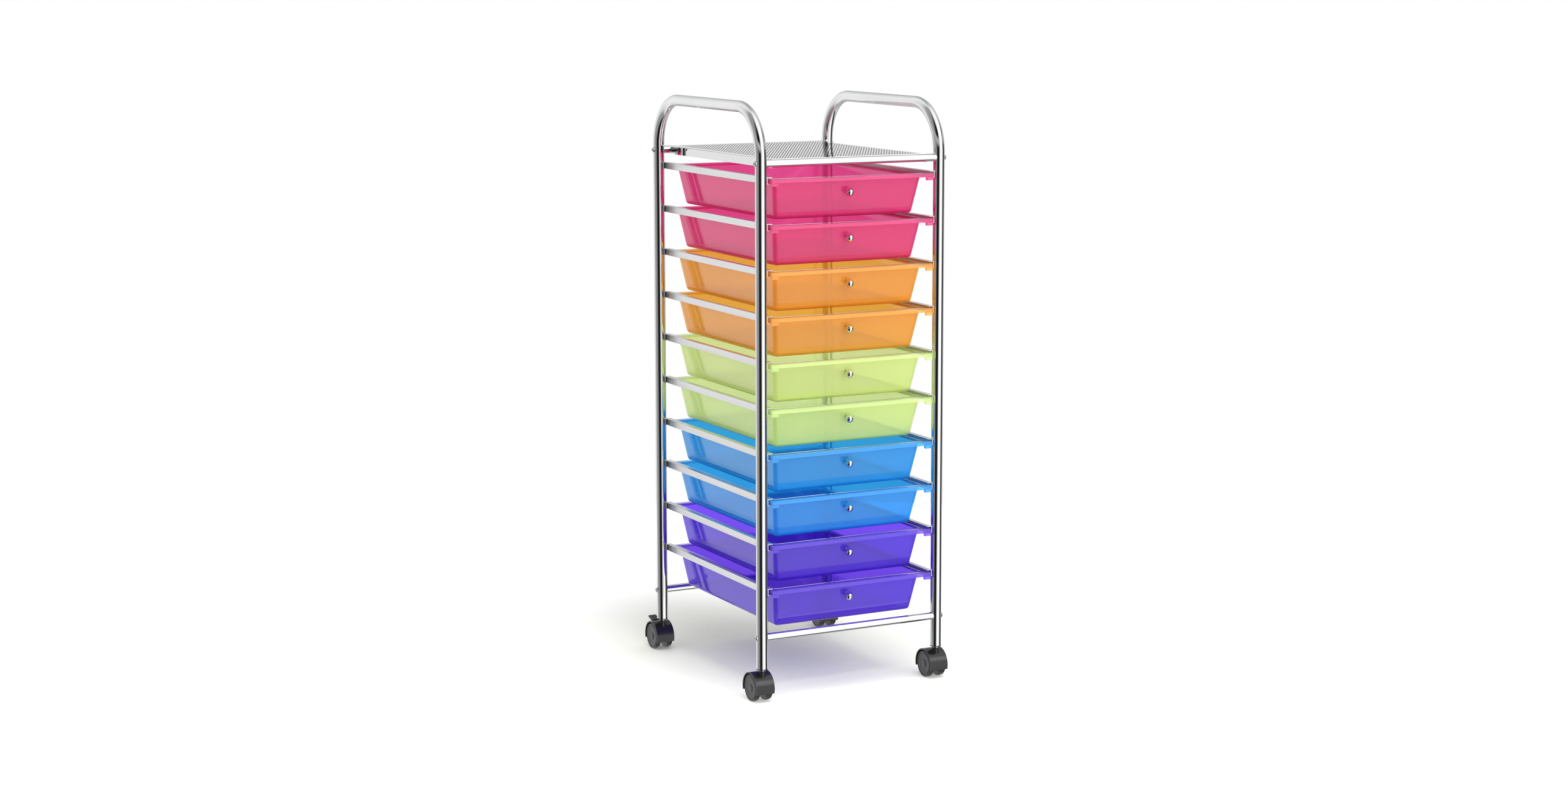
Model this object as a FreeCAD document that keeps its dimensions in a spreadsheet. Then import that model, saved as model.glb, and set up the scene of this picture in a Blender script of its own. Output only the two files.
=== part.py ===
import FreeCAD, Part
import os

import Sketcher
from FreeCAD import Vector

# Rolling drawer cart: two bent side tubes, cross tubes, a shelf tray, channel rails,
# ten tapered drawers with ball knobs, and four twin-wheel casters.
# Millimetres, +Z up. The origin is on the floor, midway between the four posts.
# The drawers open towards -Y.

DRAWERS = 10

# Driving dimensions: name, value, meaning.
SIZES = (
    ("post_spacing_x", 325.0, "left post axis to right post axis"),
    ("post_spacing_y", 384.0, "front post axis to rear post axis"),
    ("post_dia", 19.0, "outside of the side tubes"),
    ("post_wall", 1.2, "wall of the side tubes"),
    ("handle_height", 957.8, "floor to the handle tube's axis"),
    ("handle_bend", 78.0, "bend radius on the handle tube's axis"),
    ("cross_dia", 12.7, "outside of the cross tubes"),
    ("cross_wall", 1.2, "wall of the cross tubes"),
    ("cross_plug", 14.0, "threaded plug in each end of a cross tube"),
    ("shelf_drop", 87.0, "handle axis down to the shelf tubes' axis"),
    ("base_height", 106.3, "floor to the base tubes' axis"),
    ("joint_gap", 0.05, "gap where fixed pieces meet on a curve"),
    ("frame_screw_dia", 5.0, "shank of the frame screws"),
    ("frame_screw_grip", 10.0, "screw length inside a cross tube's plug"),
    ("frame_head_dia", 9.0, "head of the frame screws"),
    ("frame_head_height", 2.8, "height of a frame screw's head"),
    ("frame_head_round", 2.2, "rounding of a frame screw's head"),
    ("screw_clear", 0.1, "radial room for a screw in a clear hole"),
    ("thread_fit", 0.03, "radial room between a screw and its thread"),
    ("tray_inset", 20.5, "post axis to the outer side of the shelf tray"),
    ("tray_flange", 14.0, "height of the tray's folded sides"),
    ("tray_sheet", 1.0, "sheet of the tray"),
    ("tray_bend", 1.8, "outer radius of the tray's folds"),
    ("tray_rise", 6.3, "shelf tube axis up to the tray's top"),
    ("tray_lap", 3.2, "shelf tube axis to the tray's end"),
    ("rail_overrun", 2.5, "rail end past the post axis"),
    ("rail_height", 11.0, "outside height of a rail"),
    ("rail_depth", 9.0, "width of a rail's flanges"),
    ("rail_sheet", 1.0, "sheet of the rails"),
    ("rail_round", 0.7, "rounding of a rail's outer folds"),
    ("top_rail_drop", 32.5, "shelf tube axis down to the top rail's underside"),
    ("low_rail_rise", 68.7, "base tube axis up to the lowest rail's underside"),
    ("lip_play", 3.0, "room between a drawer's lip and a rail's web"),
    ("lip_rear_reach", 2.5, "drawer lip past the rear end of a rail"),
    ("lip_skirt", 6.2, "height of the drawer lip's turned-down edge"),
    ("lip_sheet", 2.0, "thickness of the drawer lip"),
    ("lip_corner", 3.0, "rounding of the lip's corners"),
    ("runner_gap", 0.3, "lip skirt above the rail that carries it"),
    ("stop_gap", 0.4, "stop tab to the rail's front end"),
    ("tab_width", 11.0, "width of a stop tab"),
    ("tab_depth", 6.1, "depth of a stop tab, front to rear"),
    ("tab_drop", 5.1, "stop tab below the lip's skirt"),
    ("tab_inset", 1.8, "lip end to a stop tab's outer side"),
    ("side_overhang", 13.0, "lip past the drawer's side, at the top"),
    ("end_overhang", 17.0, "lip past the drawer's front and rear, at the top"),
    ("side_draft", 8.6, "slope of a drawer's sides, degrees"),
    ("end_draft", 13.0, "slope of a drawer's front and rear, degrees"),
    ("drawer_spacing", 7.2, "drawer bottom to the lip of the drawer below"),
    ("drawer_wall", 2.2, "wall of a drawer"),
    ("drawer_corner", 6.6, "outer radius of a drawer's upright corners"),
    ("drawer_base_round", 5.0, "outer radius round a drawer's bottom"),
    ("knob_drop", 24.0, "lip top down to the knob's axis"),
    ("knob_dia", 13.5, "ball of a knob"),
    ("knob_standoff", 9.0, "drawer front to the ball's centre"),
    ("knob_neck_dia", 5.2, "neck of a knob"),
    ("knob_foot_dia", 8.0, "foot of a knob"),
    ("knob_foot_height", 1.0, "height of a knob's foot"),
    ("knob_screw_dia", 2.9, "shank of a knob's screw"),
    ("knob_screw_reach", 7.0, "screw length inside a knob"),
    ("knob_screw_relief", 1.0, "knob's hole past the screw's end"),
    ("knob_head_dia", 6.4, "head of a knob's screw"),
    ("knob_head_height", 2.2, "height of a knob screw's head"),
    ("wheel_dia", 44.0, "caster wheel"),
    ("wheel_width", 8.5, "width of a wheel's tread"),
    ("wheel_inset", 7.0, "caster middle to a wheel's inner face"),
    ("wheel_shoulder", 1.5, "chamfer beside a wheel's tread"),
    ("wheel_cover", 2.0, "closed outer face of a wheel"),
    ("wheel_groove_dia", 37.0, "middle of the ring groove on a wheel's face"),
    ("wheel_groove", 0.8, "width of that groove"),
    ("hub_dia", 12.0, "hub between a wheel and the hood's web"),
    ("axle_dia", 6.0, "caster axle"),
    ("axle_end_gap", 0.3, "axle end to the wheel's closed face"),
    ("running_fit", 0.05, "radial room of a turning shaft"),
    ("caster_trail", 12.5, "stem axis to the axle, behind it"),
    ("wheel_clear", 1.8, "tread to the inside of the hood"),
    ("hood_wall", 2.2, "wall of a caster's hood"),
    ("hood_side", 0.7, "hood's end past the wheel's face"),
    ("hood_skirt", 15.0, "floor to the hood's lower edges"),
    ("web_thick", 3.0, "web in the middle of a hood"),
    ("web_gap", 0.4, "web to a hub, each side"),
    ("boss_dia", 11.0, "stem boss on a hood"),
    ("boss_rise", 4.0, "boss above the hood's top"),
    ("boss_length", 18.0, "length of the stem boss"),
    ("boss_floor", 1.5, "closed bottom of the stem boss"),
    ("swivel_gap", 0.3, "boss top to the stem's collar"),
    ("stem_dia", 7.5, "stem inside the hood's boss"),
    ("stem_collar_dia", 12.0, "collar of the stem"),
    ("stem_collar", 2.0, "height of the collar"),
    ("stem_pin_dia", 8.0, "stem inside the post's socket"),
    ("socket_flange", 1.5, "socket flange under the post's end"),
    ("socket_length", 24.0, "socket inside the post"),
    ("pivot_inset", 9.0, "hood's outside to the brake lever's pivot"),
    ("pivot_angle", 49.8, "pivot above the horizontal through the axle, degrees"),
    ("pivot_dia", 4.0, "brake lever's pivot stub"),
    ("lever_boss_dia", 7.6, "lever's boss round the pivot"),
    ("lever_span", 12.6, "outside of the lever's two arms"),
    ("lever_pad_width", 14.0, "width of the lever's foot pad"),
    ("lever_pad_length", 16.7, "length of the foot pad"),
    ("lever_pad_thick", 2.8, "thickness of the foot pad"),
    ("lever_pad_slope", 20.0, "slope of the foot pad at rest, degrees"),
    ("lever_root_low", 51.0, "rear of the lever's root on the hood, degrees"),
    ("lever_root_high", 57.0, "front of the lever's root on the hood, degrees"),
    ("lever_gap", 0.9, "hood's outside to the foot pad"),
    ("lever_slot_low", 38.0, "rear end of the hood's slot, degrees"),
    ("lever_slot_high", 64.0, "front end of the hood's slot, degrees"),
    ("lever_slot_room", 0.5, "room beside the lever in the slot"),
    ("brake_travel", 20.0, "turn of the lever from free to braked, degrees"),
    ("brake_gap", 0.4, "lever nose to the hub when braked"),
    ("brake_nose", 2.4, "width of the lever's nose"),
)

doc = FreeCAD.newDocument("RollingDrawerCart")
sheet = doc.addObject("Spreadsheet::Sheet", "Sizes")
for row, (alias, size, meaning) in enumerate(SIZES, 1):
    sheet.set(f"A{row}", alias)
    sheet.set(f"B{row}", str(size))
    sheet.set(f"C{row}", meaning)
    sheet.setAlias(f"B{row}", alias)
doc.recompute()

# Lengths worked out from the driving dimensions, as expressions.
POST_X = "(Sizes.post_spacing_x / 2)"
POST_Y = "(Sizes.post_spacing_y / 2)"
POST_R = "(Sizes.post_dia / 2)"
POST_BORE_R = f"({POST_R} - Sizes.post_wall)"
CROSS_R = "(Sizes.cross_dia / 2)"
SHELF_Z = "(Sizes.handle_height - Sizes.shelf_drop)"
BASE_Z = "Sizes.base_height"
FRAME_SCREW_R = "(Sizes.frame_screw_dia / 2)"
RAIL_X = f"({POST_X} - {POST_R} - Sizes.joint_gap)"
RAIL_HALF = f"({POST_Y} + Sizes.rail_overrun)"
TOP_RAIL_Z = f"({SHELF_Z} - Sizes.top_rail_drop)"
LOW_RAIL_Z = f"({BASE_Z} + Sizes.low_rail_rise)"
RAIL_PITCH = f"(({TOP_RAIL_Z} - {LOW_RAIL_Z}) / {DRAWERS - 1})"
LIP_X = f"({RAIL_X} - Sizes.rail_sheet - Sizes.lip_play)"
LIP_FRONT = f"({RAIL_HALF} + Sizes.stop_gap + Sizes.tab_depth)"
LIP_REAR = f"({RAIL_HALF} + Sizes.lip_rear_reach)"
DRAWER_H = f"({RAIL_PITCH} - Sizes.drawer_spacing)"
KNOB_Y = f"({LIP_FRONT} - Sizes.end_overhang - Sizes.knob_drop * tan(Sizes.end_draft))"
WHEEL_R = "(Sizes.wheel_dia / 2)"
HOOD_IN_R = f"({WHEEL_R} + Sizes.wheel_clear)"
HOOD_R = f"({HOOD_IN_R} + Sizes.hood_wall)"
HOOD_HALF = "(Sizes.wheel_inset + Sizes.wheel_width + Sizes.hood_side)"
BOSS_TOP_Z = f"({WHEEL_R} + {HOOD_R} + Sizes.boss_rise)"
COLLAR_Z = f"({BOSS_TOP_Z} + Sizes.swivel_gap)"
FLANGE_Z = f"({COLLAR_Z} + Sizes.stem_collar)"
POST_FOOT_Z = f"({FLANGE_Z} + Sizes.socket_flange)"
AXLE_R = "(Sizes.axle_dia / 2)"
HUB_END = "(Sizes.web_thick / 2 + Sizes.web_gap)"
WHEEL_FACE = "(Sizes.wheel_inset + Sizes.wheel_width)"
PIVOT_R = f"({HOOD_R} - Sizes.pivot_inset)"
SIDES = (("left", -1), ("right", 1))
CORNERS = (
    ("front_left", -1, -1),
    ("front_right", 1, -1),
    ("rear_left", -1, 1),
    ("rear_right", 1, 1),
)

parts = []


def polar(radius, angle):
    """Point at a radius and an angle in degrees, as two expressions."""
    return f"{radius} * cos({angle})", f"{radius} * sin({angle})"


def shift(point, dx, dy):
    """Point moved by two expressions."""
    return f"({point[0]}) + ({dx})", f"({point[1]}) + ({dy})"


def new_body(label):
    """Empty body with its own label."""
    body = doc.addObject("PartDesign::Body", label)
    body.Label = label
    return body


def place(body, x, y, z):
    """Binds a body's position to three expressions."""
    for axis, expression in zip("xyz", (x, y, z)):
        body.setExpression(f"Placement.Base.{axis}", expression)


def tilted(x, y, z, angle):
    """Placement expression: a position and a turn about the X axis."""
    place_at = f"create(<<vector>>; {x}; {y}; {z})"
    turn = f"create(<<rotation>>; create(<<vector>>; 1; 0; 0); {angle})"
    return f"create(<<placement>>; {place_at}; {turn})"


def sketch_on(body, plane, lift="0"):
    """Empty sketch on an origin plane of its body, lifted along the plane's normal."""
    sketch = body.newObject("Sketcher::SketchObject", f"{body.Name}_sketch")
    for feature in body.Origin.OriginFeatures:
        if feature.Role == plane:
            sketch.AttachmentSupport = (feature, [""])
    sketch.MapMode = "FlatFace"
    sketch.setExpression("AttachmentOffset.Base.z", lift)
    return sketch


def fix(sketch, kind, first, second, expression):
    """Adds a constraint from the sketch's origin and binds it to an expression."""
    value = float(sketch.evalExpression(expression))
    index = sketch.addConstraint(Sketcher.Constraint(kind, -1, 1, first, second, value))
    sketch.setExpression(f"Constraints[{index}]", expression)


def add_outline(sketch, points):
    """Adds a closed polygon whose corners are bound to expressions."""
    first = sketch.GeometryCount
    count = len(points)
    corners = [Vector(*(float(sketch.evalExpression(v)) for v in p), 0) for p in points]
    for i in range(count):
        sketch.addGeometry(Part.LineSegment(corners[i], corners[(i + 1) % count]))
    for i in range(count):
        after = first + (i + 1) % count
        sketch.addConstraint(Sketcher.Constraint("Coincident", first + i, 2, after, 1))
    for i, (x, y) in enumerate(points):
        fix(sketch, "DistanceX", first + i, 1, x)
        fix(sketch, "DistanceY", first + i, 1, y)


def add_circle(sketch, x, y, radius):
    """Adds a circle whose centre and radius are bound to expressions."""
    centre = Vector(float(sketch.evalExpression(x)), float(sketch.evalExpression(y)), 0)
    size = float(sketch.evalExpression(radius))
    circle = sketch.addGeometry(Part.Circle(centre, Vector(0, 0, 1), size))
    index = sketch.addConstraint(Sketcher.Constraint("Radius", circle, size))
    sketch.setExpression(f"Constraints[{index}]", radius)
    fix(sketch, "DistanceX", circle, 3, x)
    fix(sketch, "DistanceY", circle, 3, y)


def outline(body, plane, points, lift="0"):
    """Sketch of one closed polygon."""
    sketch = sketch_on(body, plane, lift)
    add_outline(sketch, points)
    return sketch


def circles(body, plane, rounds, lift="0"):
    """Sketch of circles, each given as x, y and radius."""
    sketch = sketch_on(body, plane, lift)
    for x, y, radius in rounds:
        add_circle(sketch, x, y, radius)
    return sketch


def rectangle(x_low, x_high, y_low, y_high):
    """Corners of a rectangle."""
    return ((x_low, y_low), (x_high, y_low), (x_high, y_high), (x_low, y_high))


def pad(body, sketch, length, symmetric=True, down=False):
    """Pad of a sketch, to both sides or to one."""
    feature = body.newObject("PartDesign::Pad", f"{body.Name}_pad")
    feature.Profile = sketch
    feature.SideType = "Symmetric" if symmetric else "One side"
    feature.Reversed = down
    feature.setExpression("Length", length)
    return feature


def pocket(body, sketch, length=None, symmetric=True, up=False):
    """Pocket of a sketch, through everything when no length is given."""
    doc.recompute()
    before = body.Shape.Volume
    feature = body.newObject("PartDesign::Pocket", f"{body.Name}_pocket")
    feature.Profile = sketch
    feature.SideType = "Symmetric" if symmetric else "One side"
    feature.Reversed = up
    if length is None:
        feature.Type = "ThroughAll"
    else:
        feature.setExpression("Length", length)
    doc.recompute()
    if body.Shape.Volume >= before:
        raise RuntimeError(f"a pocket of {body.Label} cuts nothing")
    return feature


def revolve(body, sketch, axis):
    """Full turn of a sketch about one of its own axes."""
    feature = body.newObject("PartDesign::Revolution", f"{body.Name}_turn")
    feature.Profile = sketch
    feature.ReferenceAxis = (sketch, [axis])
    feature.Angle = 360
    return feature


def fillet(body, test, radius):
    """Rounds the edges of the body's last feature that pass a test."""
    doc.recompute()
    tip = body.Tip
    names = [f"Edge{i}" for i, edge in enumerate(tip.Shape.Edges, 1) if test(edge)]
    if not names:
        raise RuntimeError(f"no edge of {body.Label} to round")
    feature = body.newObject("PartDesign::Fillet", f"{body.Name}_fillet")
    feature.Base = (tip, names)
    feature.setExpression("Radius", radius)
    return feature


def size_of(expression):
    """Present value of an expression."""
    return float(sheet.evalExpression(expression.replace("Sizes.", "")))


def group(label, members):
    """One sub-part made of several like solids."""
    compound = doc.addObject("Part::Compound", label)
    compound.Label = label
    compound.Links = members
    parts.append(compound)


def make_side_tube(name, sign):
    """Bent tube: front post, handle and rear post in one piece, drilled for the frame screws."""
    body = new_body(f"{name}_side_tube")
    place(body, f"{sign} * {POST_X}", "0", "0")
    path = sketch_on(body, "YZ_Plane")
    half, foot, top, bend = (
        size_of(v) for v in (POST_Y, POST_FOOT_Z, "Sizes.handle_height", "Sizes.handle_bend")
    )
    knee = top - bend
    run = half - bend
    diagonal = bend * 0.5**0.5
    front_mid = Vector(-run - diagonal, knee + diagonal, 0)
    rear_mid = Vector(run + diagonal, knee + diagonal, 0)
    corners = [Vector(x, y, 0) for x, y in ((-half, knee), (-run, top), (run, top), (half, knee))]
    path.addGeometry(Part.LineSegment(Vector(-half, foot, 0), corners[0]))
    path.addGeometry(Part.Arc(corners[0], front_mid, corners[1]))
    path.addGeometry(Part.LineSegment(corners[1], corners[2]))
    path.addGeometry(Part.Arc(corners[2], rear_mid, corners[3]))
    path.addGeometry(Part.LineSegment(corners[3], Vector(half, foot, 0)))
    # An arc drawn clockwise starts at its second sketch point.
    for line, line_end, arc, arc_end in ((0, 2, 1, 2), (2, 1, 1, 1), (2, 2, 3, 2), (4, 1, 3, 1)):
        path.addConstraint(Sketcher.Constraint("Tangent", line, line_end, arc, arc_end))
    path.addConstraint(Sketcher.Constraint("Vertical", 0))
    path.addConstraint(Sketcher.Constraint("Horizontal", 2))
    path.addConstraint(Sketcher.Constraint("Vertical", 4))
    path.addConstraint(Sketcher.Constraint("Equal", 1, 3))
    index = path.addConstraint(Sketcher.Constraint("Radius", 1, bend))
    path.setExpression(f"Constraints[{index}]", "Sizes.handle_bend")
    fix(path, "DistanceX", 0, 1, f"-{POST_Y}")
    fix(path, "DistanceY", 0, 1, POST_FOOT_Z)
    fix(path, "DistanceX", 4, 2, POST_Y)
    fix(path, "DistanceY", 4, 2, POST_FOOT_Z)
    fix(path, "DistanceY", 2, 1, "Sizes.handle_height")
    rings = [("0", f"-{POST_Y}", POST_R), ("0", f"-{POST_Y}", POST_BORE_R)]
    tube = body.newObject("PartDesign::AdditivePipe", f"{body.Name}_pipe")
    tube.Profile = circles(body, "XY_Plane", rings, POST_FOOT_Z)
    tube.Spine = path
    hole = f"{FRAME_SCREW_R} + Sizes.screw_clear"
    holes = [(f"{side} * {POST_Y}", z, hole) for side in (-1, 1) for z in (SHELF_Z, BASE_Z)]
    pocket(body, circles(body, "YZ_Plane", holes))
    parts.append(body)


def make_cross_tube(label, y, z):
    """Round tube with plugged, threaded ends, coped to fit the two posts."""
    body = new_body(label)
    place(body, "0", y, z)
    bore = f"{CROSS_R} - Sizes.cross_wall"
    thread = f"{FRAME_SCREW_R} + Sizes.thread_fit"
    plug_end = f"{POST_X} - {POST_R} - Sizes.cross_plug"
    profile = (
        (f"-{POST_X}", CROSS_R),
        (POST_X, CROSS_R),
        (POST_X, thread),
        (plug_end, thread),
        (plug_end, bore),
        (f"-({plug_end})", bore),
        (f"-({plug_end})", thread),
        (f"-{POST_X}", thread),
    )
    revolve(body, outline(body, "XY_Plane", profile), "H_Axis")
    saddle = f"{POST_R} + Sizes.joint_gap"
    pocket(body, circles(body, "XY_Plane", [(f"{sign} * {POST_X}", "0", saddle) for sign in (-1, 1)]))
    parts.append(body)


def make_frame_screws():
    """Dome-headed screws through the posts into the cross tubes."""
    screws = []
    length = "Sizes.post_dia + Sizes.joint_gap + Sizes.frame_screw_grip"
    head_r = "Sizes.frame_head_dia / 2"
    for name, sign in SIDES:
        for y_sign in (-1, 1):
            for z in (SHELF_Z, BASE_Z):
                body = new_body(f"{name}_frame_screw")
                profile = (
                    (f"{sign} * Sizes.frame_head_height", "0"),
                    (f"{sign} * Sizes.frame_head_height", head_r),
                    ("0", head_r),
                    ("0", FRAME_SCREW_R),
                    (f"-{sign} * ({length})", FRAME_SCREW_R),
                    (f"-{sign} * ({length})", "0"),
                )
                revolve(body, outline(body, "XY_Plane", profile), "H_Axis")
                top = sign * size_of("Sizes.frame_head_height")
                fillet(body, lambda edge: abs(edge.BoundBox.Center.x - top) < 1e-6, "Sizes.frame_head_round")
                seat = f"{sign} * ({POST_X} + {POST_R} + Sizes.joint_gap)"
                place(body, seat, f"{y_sign} * {POST_Y}", z)
                screws.append(body)
    group("frame_screws", screws)


def make_tray():
    """Shelf tray: a flat sheet with its two sides folded down, coped to the shelf tubes."""
    body = new_body("top_shelf_tray")
    place(body, "0", "0", SHELF_Z)
    side = f"({POST_X} - Sizes.tray_inset)"
    inner = f"({side} - Sizes.tray_sheet)"
    low = "(Sizes.tray_rise - Sizes.tray_flange)"
    under = "(Sizes.tray_rise - Sizes.tray_sheet)"
    profile = (
        (f"-{side}", low),
        (f"-{side}", "Sizes.tray_rise"),
        (side, "Sizes.tray_rise"),
        (side, low),
        (inner, low),
        (inner, under),
        (f"-{inner}", under),
        (f"-{inner}", low),
    )
    pad(body, outline(body, "XZ_Plane", profile), f"2 * ({POST_Y} - Sizes.tray_lap)")
    top = size_of("Sizes.tray_rise")
    edge_x = size_of(side)

    def is_outer_fold(edge):
        centre = edge.BoundBox.Center
        long = edge.BoundBox.YLength > size_of(POST_Y)
        return long and abs(abs(centre.x) - edge_x) < 1e-6 and abs(centre.z - top) < 1e-6

    fillet(body, is_outer_fold, "Sizes.tray_bend")
    inner_x = size_of(inner)
    under_z = size_of(under)

    def is_inner_fold(edge):
        centre = edge.BoundBox.Center
        long = edge.BoundBox.YLength > size_of(POST_Y)
        return long and abs(abs(centre.x) - inner_x) < 1e-6 and abs(centre.z - under_z) < 1e-6

    fillet(body, is_inner_fold, "Sizes.tray_bend - Sizes.tray_sheet")
    saddle = f"{CROSS_R} + Sizes.joint_gap"
    pocket(body, circles(body, "YZ_Plane", [(f"{sign} * {POST_Y}", "0", saddle) for sign in (-1, 1)]))
    parts.append(body)


def make_rails(name, sign):
    """Channel rails on the inner side of one pair of posts, open towards the drawers."""
    body = new_body(f"{name}_drawer_rails")
    place(body, "0", "0", LOW_RAIL_Z)
    outer = f"{sign} * {RAIL_X}"
    web = f"{sign} * ({RAIL_X} - Sizes.rail_sheet)"
    edge = f"{sign} * ({RAIL_X} - Sizes.rail_depth)"
    upper = "Sizes.rail_height - Sizes.rail_sheet"
    profile = (
        (outer, "0"),
        (outer, "Sizes.rail_height"),
        (edge, "Sizes.rail_height"),
        (edge, upper),
        (web, upper),
        (web, "Sizes.rail_sheet"),
        (edge, "Sizes.rail_sheet"),
        (edge, "0"),
    )
    rail = pad(body, outline(body, "XZ_Plane", profile), f"2 * {RAIL_HALF}")
    outer_x = size_of(outer)

    def is_outer_fold(line):
        return line.BoundBox.YLength > 1 and abs(line.BoundBox.Center.x - outer_x) < 1e-6

    round_edges = fillet(body, is_outer_fold, "Sizes.rail_round")
    rows = body.newObject("PartDesign::LinearPattern", f"{body.Name}_rows")
    rows.Originals = [rail, round_edges]
    for feature in body.Origin.OriginFeatures:
        if feature.Role == "Z_Axis":
            rows.Direction = (feature, [""])
    rows.setExpression("Length", f"{DRAWERS - 1} * {RAIL_PITCH}")
    rows.Occurrences = DRAWERS
    body.Tip = rows
    parts.append(body)


def drawer_level(index):
    """Height of a drawer's lip top, counted from the top drawer."""
    seat = "Sizes.rail_sheet + Sizes.runner_gap + Sizes.lip_skirt"
    return f"{TOP_RAIL_Z} - {index - 1} * {RAIL_PITCH} + {seat}"


def tub_half(depth, wall):
    """Half width of the drawer's tapered tub at a depth below the lip's top, less a wall."""
    return f"({LIP_X} - Sizes.side_overhang - ({depth}) * tan(Sizes.side_draft) - ({wall}))"


def tub_reach(lip, depth, wall):
    """Reach of the tub to the front or the rear at a depth below the lip's top, less a wall."""
    return f"({lip} - Sizes.end_overhang - ({depth}) * tan(Sizes.end_draft) - ({wall}))"


def tub(body, kind, depth, wall):
    """Tapered block between the lip's top and a depth, added to the body or taken from it."""
    block = body.newObject(kind, f"{body.Name}_tub")
    for feature in body.Origin.OriginFeatures:
        if feature.Role == "XZ_Plane":
            block.AttachmentSupport = (feature, [""])
    block.MapMode = "FlatFace"
    # On this plane the block's Y is the cart's height and its Z points to the front.
    block.Ymax = 0
    block.setExpression("Ymin", f"-{depth}")
    for name, level in (("", depth), ("2", "0")):
        block.setExpression(f"X{name}max", tub_half(level, wall))
        block.setExpression(f"X{name}min", f"-{tub_half(level, wall)}")
        block.setExpression(f"Z{name}max", tub_reach(LIP_FRONT, level, wall))
        block.setExpression(f"Z{name}min", f"-{tub_reach(LIP_REAR, level, wall)}")
    return block


def make_drawer(index):
    """Tapered tub with rounded corners, an outward lip with a turned-down skirt, and two stop tabs."""
    body = new_body(f"drawer_{index}")
    place(body, "0", "0", drawer_level(index))
    tub(body, "PartDesign::AdditiveWedge", DRAWER_H, "0")
    fillet(body, lambda edge: edge.BoundBox.ZLength > 1, "Sizes.drawer_corner")
    bottom = -size_of(DRAWER_H)
    fillet(body, lambda edge: edge.BoundBox.ZMax < bottom + 1e-4, "Sizes.drawer_base_round")

    lip = rectangle(f"-{LIP_X}", LIP_X, f"-{LIP_FRONT}", LIP_REAR)
    pad(body, outline(body, "XY_Plane", lip), "Sizes.lip_sheet", symmetric=False, down=True)
    skirt = sketch_on(body, "XY_Plane")
    add_outline(skirt, lip)
    inset = "Sizes.lip_sheet"
    inside = rectangle(
        f"-{LIP_X} + {inset}", f"{LIP_X} - {inset}", f"-{LIP_FRONT} + {inset}", f"{LIP_REAR} - {inset}"
    )
    add_outline(skirt, inside)
    pad(body, skirt, "Sizes.lip_skirt", symmetric=False, down=True)
    tabs = sketch_on(body, "XY_Plane")
    tab_out = f"({LIP_X} - Sizes.tab_inset)"
    tab_in = f"({tab_out} - Sizes.tab_width)"
    tab_rear = f"-{LIP_FRONT} + Sizes.tab_depth"
    add_outline(tabs, rectangle(tab_in, tab_out, f"-{LIP_FRONT}", tab_rear))
    add_outline(tabs, rectangle(f"-{tab_out}", f"-{tab_in}", f"-{LIP_FRONT}", tab_rear))
    pad(body, tabs, "Sizes.lip_skirt + Sizes.tab_drop", symmetric=False, down=True)
    lip_x = size_of(LIP_X)
    fillet(
        body,
        lambda edge: edge.BoundBox.ZLength > 1 and abs(abs(edge.BoundBox.Center.x) - lip_x) < 1e-6,
        "Sizes.lip_corner",
    )

    floor = f"({DRAWER_H} - Sizes.drawer_wall)"
    tub(body, "PartDesign::SubtractiveWedge", floor, "Sizes.drawer_wall")
    slack = 1e-4
    floor_z = -size_of(floor)
    hollow_half = size_of(tub_half("0", "Sizes.drawer_wall")) + slack
    hollow_front = -size_of(tub_reach(LIP_FRONT, "0", "Sizes.drawer_wall")) - slack
    hollow_rear = size_of(tub_reach(LIP_REAR, "0", "Sizes.drawer_wall")) + slack

    def in_hollow(edge):
        box = edge.BoundBox
        in_x = box.XMin > -hollow_half and box.XMax < hollow_half
        return in_x and box.YMin > hollow_front and box.YMax < hollow_rear

    def is_inner_corner(edge):
        return in_hollow(edge) and edge.BoundBox.ZMax > -slack and edge.BoundBox.ZMin < floor_z + slack

    fillet(body, is_inner_corner, "Sizes.drawer_corner - Sizes.drawer_wall")
    fillet(
        body,
        lambda edge: in_hollow(edge) and abs(edge.BoundBox.ZMin - floor_z) < slack and edge.BoundBox.ZLength < slack,
        "Sizes.drawer_base_round - Sizes.drawer_wall",
    )
    hole = circles(body, "XY_Plane", [("0", "0", "Sizes.knob_screw_dia / 2 + Sizes.screw_clear")])
    hole.setExpression("AttachmentOffset.Base.z", None)
    hole.setExpression(
        "AttachmentOffset", tilted("0", f"-{KNOB_Y}", "-Sizes.knob_drop", "90 + Sizes.end_draft")
    )
    pocket(body, hole, "4 * Sizes.drawer_wall")
    parts.append(body)


def stand_on_front(body, index):
    """Sets a body's local +Z square to a drawer's front, at the knob's axis."""
    level = f"{drawer_level(index)} - Sizes.knob_drop"
    body.setExpression("Placement", tilted("0", f"-{KNOB_Y}", level, "90 + Sizes.end_draft"))


def make_knob(index):
    """Ball knob on a narrow neck, with a blind hole for its screw."""
    body = new_body(f"knob_{index}")
    stand_on_front(body, index)
    foot = circles(body, "XY_Plane", [("0", "0", "Sizes.knob_foot_dia / 2")])
    pad(body, foot, "Sizes.knob_foot_height", symmetric=False)
    neck = circles(body, "XY_Plane", [("0", "0", "Sizes.knob_neck_dia / 2")])
    pad(body, neck, "Sizes.knob_standoff", symmetric=False)
    ball = body.newObject("PartDesign::AdditiveSphere", f"{body.Name}_ball")
    ball.setExpression("Radius", "Sizes.knob_dia / 2")
    ball.setExpression("AttachmentOffset.Base.z", "Sizes.knob_standoff")
    for feature in body.Origin.OriginFeatures:
        if feature.Role == "XY_Plane":
            ball.AttachmentSupport = (feature, [""])
    ball.MapMode = "FlatFace"
    thread = circles(body, "XY_Plane", [("0", "0", "Sizes.knob_screw_dia / 2 + Sizes.thread_fit")])
    pocket(body, thread, "Sizes.knob_screw_reach + Sizes.knob_screw_relief", symmetric=False, up=True)
    parts.append(body)


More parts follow.
